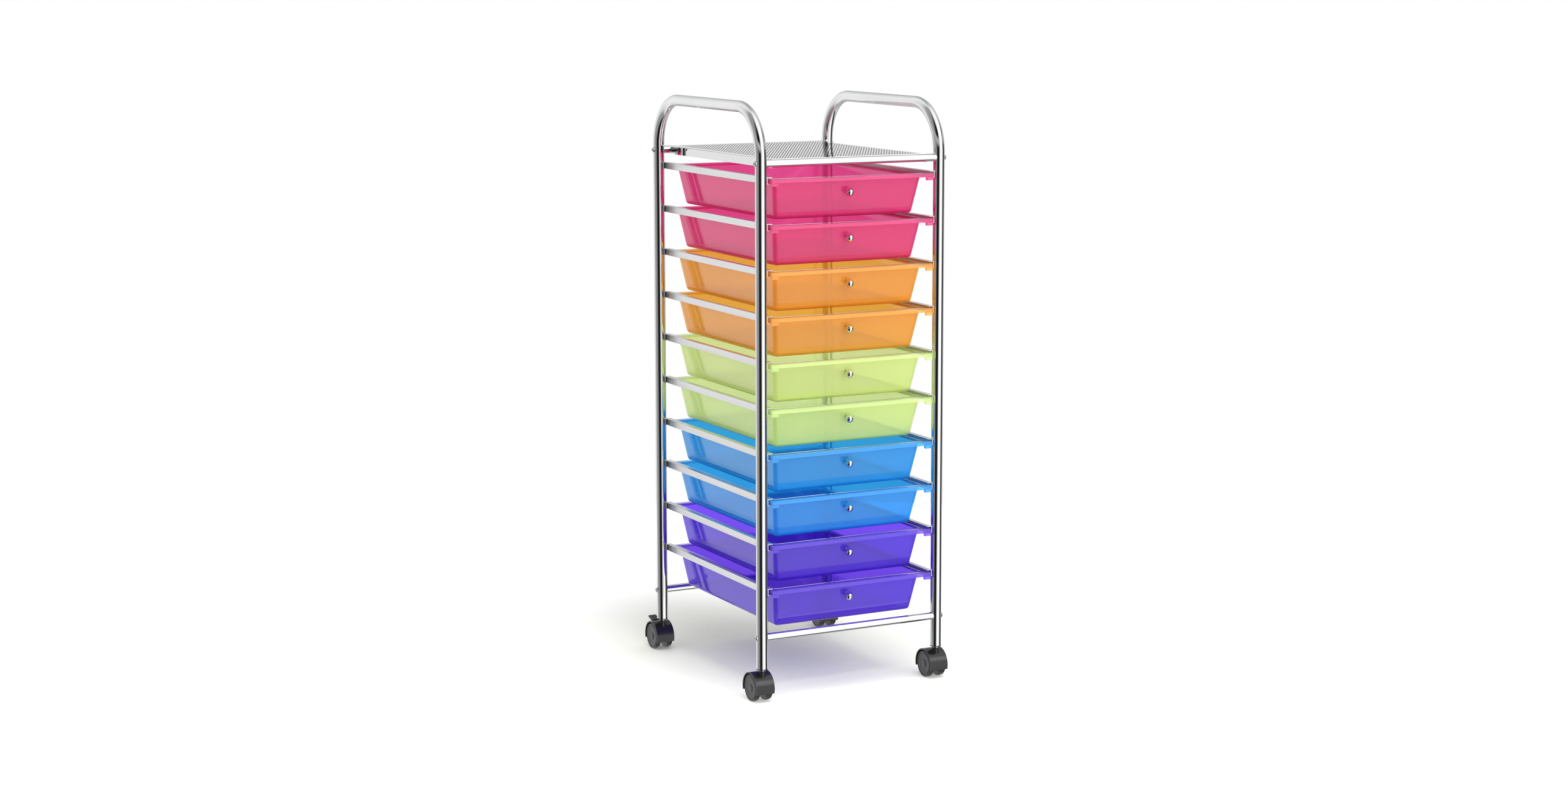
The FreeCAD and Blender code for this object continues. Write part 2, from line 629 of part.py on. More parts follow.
def make_knob_screw(index):
    """Screw from inside the drawer through its front into the knob."""
    body = new_body(f"knob_screw_{index}")
    stand_on_front(body, index)
    seat = "(-Sizes.drawer_wall * cos(Sizes.end_draft))"
    head_end = f"({seat} - Sizes.knob_head_height)"
    shank = "Sizes.knob_screw_dia / 2"
    profile = (
        ("0", head_end),
        ("Sizes.knob_head_dia / 2", head_end),
        ("Sizes.knob_head_dia / 2", seat),
        (shank, seat),
        (shank, "Sizes.knob_screw_reach"),
        ("0", "Sizes.knob_screw_reach"),
    )
    revolve(body, outline(body, "XZ_Plane", profile), "V_Axis")
    parts.append(body)


def make_socket_and_stem(x_sign, y_sign):
    """Socket in a post's lower end and the stem that hangs in it."""
    post = (f"{x_sign} * {POST_X}", f"{y_sign} * {POST_Y}", "0")
    pin_r = "Sizes.stem_pin_dia / 2"
    socket_top = f"({POST_FOOT_Z} + Sizes.socket_length)"
    sleeve_r = f"{POST_BORE_R} - Sizes.joint_gap"
    bore_r = f"{pin_r} + Sizes.joint_gap"
    socket = new_body("caster_socket")
    place(socket, *post)
    socket_profile = (
        (bore_r, FLANGE_Z),
        (POST_R, FLANGE_Z),
        (POST_R, POST_FOOT_Z),
        (sleeve_r, POST_FOOT_Z),
        (sleeve_r, socket_top),
        (bore_r, socket_top),
    )
    revolve(socket, outline(socket, "XZ_Plane", socket_profile), "V_Axis")
    stem = new_body("caster_stem")
    place(stem, *post)
    stem_r = "Sizes.stem_dia / 2"
    collar_r = "Sizes.stem_collar_dia / 2"
    stem_low = f"({BOSS_TOP_Z} - Sizes.boss_length + Sizes.boss_floor + Sizes.swivel_gap)"
    stem_profile = (
        ("0", stem_low),
        (stem_r, stem_low),
        (stem_r, COLLAR_Z),
        (collar_r, COLLAR_Z),
        (collar_r, FLANGE_Z),
        (pin_r, FLANGE_Z),
        (pin_r, socket_top),
        ("0", socket_top),
    )
    revolve(stem, outline(stem, "XZ_Plane", stem_profile), "V_Axis")
    return socket, stem


def make_hood(corner, x_sign, y_sign, braked):
    """Half-drum hood with a middle web for the axle and a boss for the stem."""
    body = new_body(f"{corner}_caster_hood")
    place(body, f"{x_sign} * {POST_X}", f"{y_sign} * {POST_Y}", "0")
    axle = ("Sizes.caster_trail", WHEEL_R)
    pad(body, circles(body, "YZ_Plane", [(*axle, HOOD_R)]), f"2 * {HOOD_HALF}")
    half_web = "Sizes.web_thick / 2"
    hollow_right = circles(body, "YZ_Plane", [(*axle, HOOD_IN_R)], half_web)
    pocket(body, hollow_right, HOOD_HALF, symmetric=False, up=True)
    hollow_left = circles(body, "YZ_Plane", [(*axle, HOOD_IN_R)], f"-{half_web}")
    pocket(body, hollow_left, HOOD_HALF, symmetric=False)
    reach = f"2 * {HOOD_R}"
    below = rectangle(f"-{reach}", reach, f"-{reach}", "Sizes.hood_skirt")
    pocket(body, outline(body, "YZ_Plane", below))
    boss_low = f"{BOSS_TOP_Z} - Sizes.boss_length"
    boss = circles(body, "XY_Plane", [("0", "0", "Sizes.boss_dia / 2")], boss_low)
    pad(body, boss, "Sizes.boss_length", symmetric=False)
    journal = [("0", "0", "Sizes.stem_dia / 2 + Sizes.running_fit")]
    journal_depth = "Sizes.boss_length - Sizes.boss_floor"
    pocket(body, circles(body, "XY_Plane", journal, BOSS_TOP_Z), journal_depth, symmetric=False)
    if braked:
        corners = (
            polar(f"({HOOD_IN_R} - 1)", "Sizes.lever_slot_low"),
            polar(f"({HOOD_R} + 2)", "Sizes.lever_slot_low"),
            polar(f"({HOOD_R} + 2)", "Sizes.lever_slot_high"),
            polar(f"({HOOD_IN_R} - 1)", "Sizes.lever_slot_high"),
        )
        slot = [shift(point, *axle) for point in corners]
        pocket(body, outline(body, "YZ_Plane", slot), "Sizes.lever_span + 2 * Sizes.lever_slot_room")
        pivot = shift(polar(PIVOT_R, "Sizes.pivot_angle"), *axle)
        stub = circles(body, "YZ_Plane", [(*pivot, "Sizes.pivot_dia / 2")])
        pad(body, stub, "Sizes.lever_span")
    pocket(body, circles(body, "YZ_Plane", [(*axle, f"{AXLE_R} + Sizes.thread_fit")]))
    parts.append(body)


def axle_place(body, x_sign, y_sign):
    """Puts a body's origin on a caster's axle, in the caster's middle."""
    place(body, f"{x_sign} * {POST_X}", f"{y_sign} * {POST_Y} + Sizes.caster_trail", WHEEL_R)


def make_axle(corner, x_sign, y_sign):
    """Plain pin through the hood's web into both wheels."""
    body = new_body(f"{corner}_caster_axle")
    axle_place(body, x_sign, y_sign)
    half = f"({WHEEL_FACE} - Sizes.wheel_cover - Sizes.axle_end_gap)"
    pad(body, circles(body, "YZ_Plane", [("0", "0", AXLE_R)]), f"2 * {half}")
    parts.append(body)


def make_wheel(corner, x_sign, y_sign, side, sign):
    """Wheel with a closed outer face, a ring groove on it and a hub towards the web."""
    body = new_body(f"{corner}_{side}_wheel")
    axle_place(body, x_sign, y_sign)
    bore = f"{AXLE_R} + Sizes.running_fit"
    hub = "Sizes.hub_dia / 2"
    inner = "Sizes.wheel_inset"
    face_r = f"{WHEEL_R} - Sizes.wheel_shoulder"
    groove_out = "(Sizes.wheel_groove_dia + Sizes.wheel_groove) / 2"
    groove_in = "(Sizes.wheel_groove_dia - Sizes.wheel_groove) / 2"
    groove_x = f"{WHEEL_FACE} - Sizes.wheel_groove"
    blind = f"{WHEEL_FACE} - Sizes.wheel_cover"
    profile = (
        (HUB_END, bore),
        (HUB_END, hub),
        (inner, hub),
        (inner, face_r),
        (f"{inner} + Sizes.wheel_shoulder", WHEEL_R),
        (f"{WHEEL_FACE} - Sizes.wheel_shoulder", WHEEL_R),
        (WHEEL_FACE, face_r),
        (WHEEL_FACE, groove_out),
        (groove_x, groove_out),
        (groove_x, groove_in),
        (WHEEL_FACE, groove_in),
        (WHEEL_FACE, "0"),
        (blind, "0"),
        (blind, bore),
    )
    mirrored = [(f"{sign} * ({x})", r) for x, r in profile]
    revolve(body, outline(body, "XY_Plane", mirrored), "H_Axis")
    parts.append(body)


def make_brake_lever(corner, x_sign, y_sign):
    """Foot lever on the hood's pivot: a pad outside, two arms beside the web and a nose at the hubs."""
    body = new_body(f"{corner}_brake_lever")
    axle_place(body, x_sign, y_sign)
    root_r = f"({HOOD_R} + Sizes.lever_gap)"
    front = polar(root_r, "Sizes.lever_root_high")
    rear = polar(root_r, "Sizes.lever_root_low")
    run, rise = polar("Sizes.lever_pad_length", "Sizes.lever_pad_slope")
    lift = polar("Sizes.lever_pad_thick", "Sizes.lever_pad_slope + 90")
    tip = shift(rear, run, rise)
    pad(
        body,
        outline(body, "YZ_Plane", (front, rear, tip, shift(tip, *lift), shift(front, *lift))),
        "Sizes.lever_pad_width",
    )
    pivot = polar(PIVOT_R, "Sizes.pivot_angle")
    arm_half = "Sizes.lever_boss_dia / 2 - 0.6"
    beside = polar(f"({arm_half})", "Sizes.pivot_angle + 90")
    away = polar(f"(-({arm_half}))", "Sizes.pivot_angle + 90")
    arm = (shift(pivot, *beside), front, rear, shift(pivot, *away))
    pad(body, outline(body, "YZ_Plane", arm), "Sizes.lever_span")
    pad(body, circles(body, "YZ_Plane", [(*pivot, "Sizes.lever_boss_dia / 2")]), "Sizes.lever_span")
    nose_angle = "Sizes.pivot_angle + 180 + Sizes.brake_travel"
    nose_length = f"({PIVOT_R} - Sizes.hub_dia / 2 - Sizes.brake_gap)"
    nose_end = shift(pivot, *polar(nose_length, nose_angle))
    nose_side = polar("(Sizes.brake_nose / 2)", f"{nose_angle} + 90")
    nose_back = polar("(-Sizes.brake_nose / 2)", f"{nose_angle} + 90")
    nose = (
        shift(pivot, *nose_side),
        shift(nose_end, *nose_side),
        shift(nose_end, *nose_back),
        shift(pivot, *nose_back),
    )
    pad(body, outline(body, "YZ_Plane", nose), "Sizes.lever_span")
    web_room = "Sizes.web_thick + 2 * Sizes.web_gap"
    pocket(body, circles(body, "YZ_Plane", [("0", "0", f"{HOOD_R} + Sizes.lever_gap / 4")]), web_room)
    pocket(body, circles(body, "YZ_Plane", [(*pivot, "Sizes.pivot_dia / 2 + Sizes.running_fit")]))
    parts.append(body)


for side_name, side_sign in SIDES:
    make_side_tube(side_name, side_sign)
make_cross_tube("top_front_tube", f"-{POST_Y}", SHELF_Z)
make_cross_tube("top_rear_tube", POST_Y, SHELF_Z)
make_cross_tube("base_front_tube", f"-{POST_Y}", BASE_Z)
make_cross_tube("base_rear_tube", POST_Y, BASE_Z)
make_frame_screws()
make_tray()
for side_name, side_sign in SIDES:
    make_rails(side_name, side_sign)
for number in range(1, DRAWERS + 1):
    make_drawer(number)
    make_knob(number)
    make_knob_screw(number)
sockets_and_stems = [make_socket_and_stem(x_sign, y_sign) for _, x_sign, y_sign in CORNERS]
group("caster_sockets", [socket for socket, _ in sockets_and_stems])
group("caster_stems", [stem for _, stem in sockets_and_stems])
for corner_name, x_sign, y_sign in CORNERS:
    has_brake = y_sign > 0
    make_hood(corner_name, x_sign, y_sign, has_brake)
    make_axle(corner_name, x_sign, y_sign)
    for side_name, side_sign in SIDES:
        make_wheel(corner_name, x_sign, y_sign, side_name, side_sign)
    if has_brake:
        make_brake_lever(corner_name, x_sign, y_sign)
doc.recompute()

for item in doc.Objects:
    if "Invalid" in item.State or "Error" in item.State:
        raise RuntimeError(f"{item.Label} did not build: {item.State}")
for part in parts:
    if part.Shape.isNull() or not part.Shape.isValid():
        raise RuntimeError(f"{part.Label} has no valid shape")

os.makedirs("parts", exist_ok=True)
for part in parts:
    part.Shape.exportStep(f"parts/{part.Label}.step")
    print(f"{part.Label}: {len(part.Shape.Solids)} solid(s), {part.Shape.Volume:.0f} mm3")
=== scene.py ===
"""Looks of a rolling drawer cart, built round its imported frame."""

import math

import bmesh
import bpy
from bpy.props import FloatProperty, FloatVectorProperty, IntProperty, PointerProperty
from mathutils import Matrix, Vector


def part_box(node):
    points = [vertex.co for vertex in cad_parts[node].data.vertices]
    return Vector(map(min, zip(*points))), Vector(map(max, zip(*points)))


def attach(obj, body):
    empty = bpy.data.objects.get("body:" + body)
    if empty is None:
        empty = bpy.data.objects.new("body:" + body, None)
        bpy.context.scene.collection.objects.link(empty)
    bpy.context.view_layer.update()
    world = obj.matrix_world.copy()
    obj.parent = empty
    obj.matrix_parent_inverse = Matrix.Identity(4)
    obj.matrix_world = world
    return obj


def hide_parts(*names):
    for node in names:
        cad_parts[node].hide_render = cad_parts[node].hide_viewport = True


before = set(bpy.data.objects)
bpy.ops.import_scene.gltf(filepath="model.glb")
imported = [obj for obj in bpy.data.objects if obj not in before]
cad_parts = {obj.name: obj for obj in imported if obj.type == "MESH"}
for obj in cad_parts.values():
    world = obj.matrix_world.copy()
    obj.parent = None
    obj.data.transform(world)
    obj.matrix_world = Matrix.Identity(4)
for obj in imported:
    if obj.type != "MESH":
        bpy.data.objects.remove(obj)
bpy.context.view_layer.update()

bl_info = {
    "name": "Rolling Drawer Cart",
    "version": (1, 0, 0),
    "blender": (4, 5, 0),
    "location": "3D View > Sidebar > Drawer Cart",
    "description": "Builds the finished looks of a rolling drawer cart on its packed frame",
    "category": "Object",
}

DRAWERS = 10
DRAWERS_PER_COLOUR = 2
TINTS = ("pink", "orange", "lime", "blue", "purple")
SIDES = ("left", "right")
CORNERS = ("front_left", "front_right", "rear_left", "rear_right")
BRAKED = ("rear_left", "rear_right")
CROSS_TUBES = ("top_front", "top_rear", "base_front", "base_rear")
SMOOTH_UNDER = math.radians(32)
FLAT_UNDER = math.radians(0.5)
ROUND_OVER = math.radians(40)
SAME_POINT = 1e-6
MERGE_UNDER = 1e-5
ROW_STEP = math.sqrt(3) / 2
WHITE = (1, 1, 1, 1)
SCREW_AROUND, KNOB_AROUND, WHEEL_AROUND, FLOOR_AROUND = 32, 48, 64, 96
SCENE = bpy.context.scene

# Marks on the points of a drawer for painted light and shade: from the lip, made paler as painted light, to
# the corners and base, deepened as painted shade.
PAINTED_LIP_LIGHT, UNDER_LIP, PLAIN, CORNER, PAINTED_BASE_SHADE = -1.0, -0.3, 0.0, 0.8, 1.0


def length(label, text, value):
    """A length in metres, set in millimetres."""
    metres = value / 1000
    return FloatProperty(name=label, description=text, default=metres, min=0, precision=5, unit="LENGTH")


def slope(label, text, degrees):
    """An angle, set in degrees."""
    return FloatProperty(name=label, description=text, default=math.radians(degrees), unit="ROTATION")


def share(label, text, value):
    """A plain number from 0 to 1."""
    return FloatProperty(name=label, description=text, default=value, min=0, max=1, subtype="FACTOR")


def power(label, text, watts):
    """The power of a lamp, in watts."""
    return FloatProperty(name=label, description=text, default=watts, min=0, unit="POWER")


def colour(label, text, value):
    """A colour, in linear light."""
    return FloatVectorProperty(name=label, description=text, default=value, min=0, max=1, subtype="COLOR")


class CartTubeSettings(bpy.types.PropertyGroup):
    """Sizes and finish of the chromed tubes."""

    post_radius: length("Post radius", "Outside radius of the side tubes", 9.5)
    post_wall: length("Post wall", "Wall of the side tubes", 1.2)
    handle_bend: length("Handle bend", "Bend radius on the axis of the handle", 78)
    cross_wall: length("Cross wall", "Wall of the cross tubes", 1.2)
    saddle_gap: length("Saddle gap", "Gap between a coped tube end and the post", 0.05)
    bend_steps: IntProperty(name="Bend steps", description="Rings in each handle bend", default=28, min=4)
    around: IntProperty(name="Around", description="Points round a tube", default=56, min=12)
    chrome: colour("Chrome", "Tint of the bright plating", (0.9, 0.905, 0.91))
    rail_steel: colour("Rail steel", "Tint of the drawer rails", (0.88, 0.88, 0.89))


class CartScrewSettings(bpy.types.PropertyGroup):
    """Sizes and finish of the screws."""

    head_radius: length("Head radius", "Head of a frame screw", 4.5)
    head_height: length("Head height", "Height of a frame screw's head", 2.8)
    shank_radius: length("Shank radius", "Shank of a frame screw", 2.5)
    shank_length: length("Shank length", "Shank of a frame screw below its head", 29.05)
    zinc: colour("Zinc", "Tint of the zinc plating", (0.78, 0.785, 0.8))


class CartShelfSettings(bpy.types.PropertyGroup):
    """Sizes and finish of the perforated shelf tray."""

    sheet: length("Sheet", "Thickness of the sheet", 1.0)
    fold_radius: length("Fold radius", "Outer radius of the folded sides", 1.8)
    side_border: length("Side border", "Plain strip beside the holes at the folded sides", 7)
    end_border: length("End border", "Plain strip beside the holes at the front and rear", 6)
    hole_pitch: length("Hole pitch", "Distance between neighbouring holes", 5)
    hole_width: length("Hole width", "Width of a hole across its flats", 3.0)
    cope_radius: length("Cope radius", "Radius cut out of the folded sides at the tubes", 6.4)
    end_lap: length("End lap", "Plain strip at the front or rear past the holed sheet's faces", 0.02)
    side_lap: length("Side lap", "Folded side past the holed sheet's faces", 0.04)
    steel: colour("Steel", "Tint of the shelf's plated sheet", (0.84, 0.84, 0.85))


class CartDrawerSettings(bpy.types.PropertyGroup):
    """Sizes and tints of the drawers."""

    wall: length("Wall", "Wall of a drawer", 2.2)
    lip_sheet: length("Lip sheet", "Thickness of the lip", 2)
    lip_skirt: length("Lip skirt", "Height of the lip's turned-down edge", 6.2)
    lip_corner: length("Lip corner", "Rounding of the lip's corners", 3)
    edge_round: length("Edge round", "Rounding of the lip's edges", 0.7)
    tightest_lip: length("Tightest lip", "Least rounding of the lip's corners", 0.6)
    lip_fade: length("Lip fade", "Lip top to where the tint is plain inside", 4)
    side_overhang: length("Side overhang", "Lip past the sides", 13)
    end_overhang: length("End overhang", "Lip past the front and rear", 17)
    side_draft: slope("Side draft", "Slope of the sides", 8.6)
    end_draft: slope("End draft", "Slope of the front and rear", 13)
    corner_radius: length("Corner radius", "Radius of the upright corners", 6.6)
    tightest_corner: length("Tightest corner", "Least radius of the upright corners", 0.8)
    base_radius: length("Base radius", "Radius round the bottom", 5)
    base_fade: length("Base fade", "Bottom's radius to where the tint is plain", 2)
    tab_width: length("Tab width", "Width of a stop tab", 11)
    tab_depth: length("Tab depth", "Depth of a stop tab", 6.1)
    tab_drop: length("Tab drop", "Stop tab below the skirt", 5.1)
    tab_inset: length("Tab inset", "Lip end to a stop tab", 1.8)
    tab_gap: length("Tab gap", "Gap between a stop tab and the lip", 0.05)
    tab_ease: length("Tab ease", "Chamfer of a stop tab's foot", 0.6)
    pink: colour("Pink", "Tint of the pink drawers", (0.92, 0.16, 0.45))
    orange: colour("Orange", "Tint of the orange drawers", (1.0, 0.64, 0.15))
    lime: colour("Lime", "Tint of the lime drawers", (0.88, 1.0, 0.55))
    blue: colour("Blue", "Tint of the blue drawers", (0.1, 0.6, 1.0))
    purple: colour("Purple", "Tint of the purple drawers", (0.28, 0.14, 0.87))
    body: share("Body", "How much of the light a wall's surface stops", 0.34)
    glow: share("Glow", "Part of the stopped light that is passed on scattered", 0.35)
    # Painted light: how much paler the lip is made.
    painted_lip_paling: share("Paling", "How much paler the lip is", 0.05)
    shine: share("Shine", "Gloss of a wall seen straight on", 0.055)
    inside_shine: share("Inside shine", "Gloss of a wall's inner face seen straight on", 0.01)
    glancing_shine: share("Glancing shine", "Gloss that a wall gains when seen along its face", 0.95)
    # Painted shade: the power that deepens the tint at the corners and base.
    painted_shade_deepening: FloatProperty(
        name="Deepening", description="Power that deepens the tint at corners and base", default=1.2, min=1
    )


class CartKnobSettings(bpy.types.PropertyGroup):
    """Sizes of the knobs and their screws."""

    drop: length("Drop", "Lip top down to the knob's axis", 24)
    ball_radius: length("Ball radius", "Ball of a knob", 6.75)
    standoff: length("Stand-off", "Drawer front to the ball's centre", 9)
    neck_radius: length("Neck radius", "Neck of a knob", 2.6)
    foot_radius: length("Foot radius", "Foot of a knob", 4)
    foot_height: length("Foot height", "Height of a knob's foot", 1)
    screw_radius: length("Screw radius", "Shank of a knob's screw", 1.45)
    screw_reach: length("Screw reach", "Screw inside the knob", 7)
    head_radius: length("Head radius", "Head of a knob's screw", 3.2)
    head_height: length("Head height", "Height of a knob screw's head", 2.2)


class CartCasterSettings(bpy.types.PropertyGroup):
    """Sizes and finish of the casters."""

    edge_round: length("Edge round", "Rounding of the moulded edges", 0.45)
    hub_radius: length("Hub radius", "Hub of a wheel", 6)
    bore_radius: length("Bore radius", "Bore of a wheel", 3.05)
    tread_width: length("Tread width", "Width of a wheel's tread", 8.5)
    tread_round: length("Tread round", "Rounding of the tread's edges", 1.5)
    face_wall: length("Face wall", "Wheel between the bore's end and the face", 2)
    black: colour("Black", "Colour of the hoods and levers", (0.011, 0.011, 0.012))
    wheel_grey: colour("Wheel grey", "Colour of the wheels", (0.026, 0.026, 0.027))


class CartStageSettings(bpy.types.PropertyGroup):
    """Camera and light."""

    lens: FloatProperty(name="Lens", description="Focal length in millimetres", default=60.55, min=1)
    yaw: slope("Yaw", "Turn of the camera from the +Y direction towards +X", 27.86)
    pitch: slope("Pitch", "Downward tilt of the camera", 8.29)
    eye: FloatVectorProperty(
        name="Eye",
        description="Place of the camera",
        default=(-2.0335, -3.8912, 1.1665),
        subtype="XYZ",
        unit="LENGTH",
    )
    shift: FloatVectorProperty(
        name="Shift", description="Shift of the picture", default=(-0.01546, -0.02618), size=2
    )
    ambient: FloatProperty(name="Ambient", description="Strength of the even light", default=1.05, min=0)
    polish: FloatProperty(name="Polish", description="Strength of the studio in gloss", default=1.1, min=0)
    front_power: power("Front power", "Large soft lamp at the front", 42)
    side_power: power("Side power", "Large soft lamp at the left", 14)
    top_power: power("Top power", "Soft lamp overhead", 60)


# Mesh making


def add_skin(bm, rings, cap_first=False, cap_last=False, close=False):
    """Joins rings of points with faces. A ring of one point is a pole."""
    loops = [[bm.verts.new(point) for point in ring] for ring in rings]
    pairs = list(zip(loops, loops[1:]))
    if close:
        pairs.append((loops[-1], loops[0]))
    for low, high in pairs:
        count = max(len(low), len(high))
        for i in range(count):
            j = (i + 1) % count
            corners = [low[i % len(low)], low[j % len(low)], high[j % len(high)], high[i % len(high)]]
            bm.faces.new(list(dict.fromkeys(corners)))
    if cap_first:
        bm.faces.new(list(reversed(loops[0])))
    if cap_last:
        bm.faces.new(loops[-1])
    return loops


def circle(radius, count, matrix):
    """Points of a circle round a matrix's Z axis, or its one point where the radius is 0."""
    if radius == 0:
        return [matrix @ Vector((0, 0, 0))]
    angles = [2 * math.pi * i / count for i in range(count)]
    return [matrix @ Vector((radius * math.cos(a), radius * math.sin(a), 0)) for a in angles]


def add_lathe(bm, profile, count, matrix):
    """Turned shape from points of radius and height along a matrix's Z axis."""
    rings = [circle(r, count, matrix @ Matrix.Translation((0, 0, z))) for r, z in profile]
    add_skin(bm, rings, cap_first=len(rings[0]) > 1, cap_last=len(rings[-1]) > 1)


def arc(centre, radius, start, end, steps):
    """Points of an arc in a plane, angles in degrees."""
    angles = [math.radians(start + (end - start) * i / steps) for i in range(steps + 1)]
    return [(centre[0] + radius * math.cos(a), centre[1] + radius * math.sin(a)) for a in angles]


def as_mesh(bm, name):
    """Ends a bmesh as a mesh with soft shading."""
    mesh = bpy.data.meshes.new(name)
    bm.to_mesh(mesh)
    bm.free()
    soften(mesh)
    return mesh


def to_mesh(bm, name):
    """Ends a bmesh as a mesh with its faces turned outward."""
    bmesh.ops.recalc_face_normals(bm, faces=bm.faces)
    return as_mesh(bm, name)


def soften(mesh):
    """Smooth shading with sharp creases."""
    mesh.polygons.foreach_set("use_smooth", [True] * len(mesh.polygons))
    mesh.set_sharp_from_angle(angle=SMOOTH_UNDER)


def paint(mesh, finish):
    """Gives a mesh one finish."""
    mesh.materials.clear()
    mesh.materials.append(finish)


def add_piece(name, mesh, finish, body, node):
    """Shows a mesh as a piece that rides a body in place of a CAD node."""
    piece = held(name, mesh)
    paint(mesh, finish)
    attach(piece, body)
    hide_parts(node)


def applied(holder):
    """Plain mesh of an object with its modifiers applied; the object is removed."""
    evaluated = holder.evaluated_get(bpy.context.evaluated_depsgraph_get())
    mesh = bpy.data.meshes.new_from_object(evaluated)
    holder.modifiers.clear()
    bpy.data.objects.remove(holder)
    return mesh


def held(name, data):
    """Object in the scene that holds a mesh, a lamp or the camera."""
    holder = bpy.data.objects.new(name, data)
    SCENE.collection.objects.link(holder)
    return holder


def rounded_copy(node, radius):
    """Mesh of a CAD node, merged, with its sharp edges rounded."""
    bm = bmesh.new()
    bm.from_mesh(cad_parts[node].data)
    bmesh.ops.remove_doubles(bm, verts=bm.verts, dist=SAME_POINT)
    bmesh.ops.dissolve_limit(bm, angle_limit=FLAT_UNDER, verts=bm.verts, edges=bm.edges)
    holder = held(f"{node}_holder", as_mesh(bm, f"{node}_rounded"))
    bevel = holder.modifiers.new("Edges", "BEVEL")
    bevel.width = radius
    bevel.segments = 2
    bevel.limit_method = "ANGLE"
    bevel.angle_limit = ROUND_OVER
    bevel.use_clamp_overlap = True
    holder.modifiers.new("Shading", "WEIGHTED_NORMAL").keep_sharp = True
    return applied(holder)


def middle(node):
    """Centre of a CAD node's box."""
    low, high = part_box(node)
    return (low + high) / 2


# Node trees


def add_node(tree, kind, links=(), **values):
    """Adds a node, sets its inputs by name and links sockets, or nodes' first outputs, into it."""
    made = tree.nodes.new(kind)
    for name, value in values.items():
        made.inputs[name.replace("_", " ")].default_value = value
    for name, source in dict(links).items():
        socket = source.outputs[0] if isinstance(source, bpy.types.Node) else source
        tree.links.new(socket, made.inputs[name])
    return made


def vector_length(tree, vector):
    """Distance from the origin of a vector's coordinates."""
    made = add_node(tree, "ShaderNodeVectorMath", {0: vector})
    made.operation = "LENGTH"
    return made.outputs["Value"]


def node_tree(name, inputs):
    """Empty geometry tree with named inputs; returns it, its input node and its output node."""
    tree = bpy.data.node_groups.new(name, "GeometryNodeTree")
    for label, kind in inputs:
        tree.interface.new_socket(name=label, in_out="INPUT", socket_type=kind)
    tree.interface.new_socket(name="Geometry", in_out="OUTPUT", socket_type="NodeSocketGeometry")
    return tree, tree.nodes.new("NodeGroupInput"), tree.nodes.new("NodeGroupOutput")


def math_node(tree, operation, *values):
    """Math node fed by sockets or plain numbers; returns its output."""
    node = tree.nodes.new("ShaderNodeMath")
    node.operation = operation
    for socket, value in zip(node.inputs, values):
        if isinstance(value, (int, float)):
            socket.default_value = value
        else:
            tree.links.new(value, socket)
    return node.outputs[0]


def finish_tree(tree, start, end, points, shape, **turned):
    """Ends a tree with an object at each point, made real, merged and painted."""
    info = add_node(tree, "GeometryNodeObjectInfo", {"Object": start.outputs[shape]})
    placed = {"Points": points, "Instance": info.outputs["Geometry"], **turned}
    copies = add_node(tree, "GeometryNodeInstanceOnPoints", placed)
    real = add_node(tree, "GeometryNodeRealizeInstances", {"Geometry": copies})
    merged = add_node(tree, "GeometryNodeMergeByDistance", {"Geometry": real}, Distance=MERGE_UNDER)
    finished = {"Geometry": merged, "Material": start.outputs["Material"]}
    painted = add_node(tree, "GeometryNodeSetMaterial", finished)
    tree.links.new(painted.outputs["Geometry"], end.inputs["Geometry"])
    return tree


def perforation_tree():
    """Staggered rows of one perforated cell."""
    tree, start, end = node_tree(
        "Perforated Sheet",
        (
            ("Cell", "NodeSocketObject"),
            ("Pitch", "NodeSocketFloat"),
            ("Columns", "NodeSocketInt"),
            ("Rows", "NodeSocketInt"),
            ("Material", "NodeSocketMaterial"),
        ),
    )
    pitch, columns, rows = (start.outputs[name] for name in ("Pitch", "Columns", "Rows"))
    row_step = math_node(tree, "MULTIPLY", pitch, ROW_STEP)
    size = {
        "Vertices X": columns,
        "Vertices Y": rows,
        "Size X": math_node(tree, "MULTIPLY", math_node(tree, "SUBTRACT", columns, 1), pitch),
        "Size Y": math_node(tree, "MULTIPLY", math_node(tree, "SUBTRACT", rows, 1), row_step),
    }
    grid = add_node(tree, "GeometryNodeMeshGrid", size)
    row = math_node(tree, "MODULO", tree.nodes.new("GeometryNodeInputIndex").outputs[0], rows)
    odd = math_node(tree, "SUBTRACT", math_node(tree, "MODULO", row, 2), 0.5)
    half_pitch = math_node(tree, "MULTIPLY", pitch, 0.5)
    stagger = add_node(tree, "ShaderNodeCombineXYZ", {"X": math_node(tree, "MULTIPLY", odd, half_pitch)})
    moved = add_node(tree, "GeometryNodeSetPosition", {"Geometry": grid, "Offset": stagger})
    return finish_tree(tree, start, end, moved, "Cell")


def fastening_tree():
    """One screw at each point, turned to the point's outward direction."""
    tree, start, end = node_tree(
        "Screw Set",
        (
            ("Places", "NodeSocketGeometry"),
            ("Screw", "NodeSocketObject"),
            ("Material", "NodeSocketMaterial"),
        ),
    )
    outward = add_node(tree, "GeometryNodeInputNamedAttribute", Name="outward")
    outward.data_type = "FLOAT_VECTOR"
    turn = add_node(tree, "FunctionNodeAlignRotationToVector", {"Vector": outward.outputs["Attribute"]})
    turn.axis = "Z"
    return finish_tree(tree, start, end, start.outputs["Places"], "Screw", Rotation=turn)


def run_tree(holder, tree, **values):
    """Runs a tree on an object and returns the plain mesh it makes."""
    modifier = holder.modifiers.new(tree.name, "NODES")
    modifier.node_group = tree
    for item in tree.interface.items_tree:
        if item.in_out == "INPUT" and item.name in values:
            modifier[item.identifier] = values[item.name]
    return applied(holder)


# Finishes


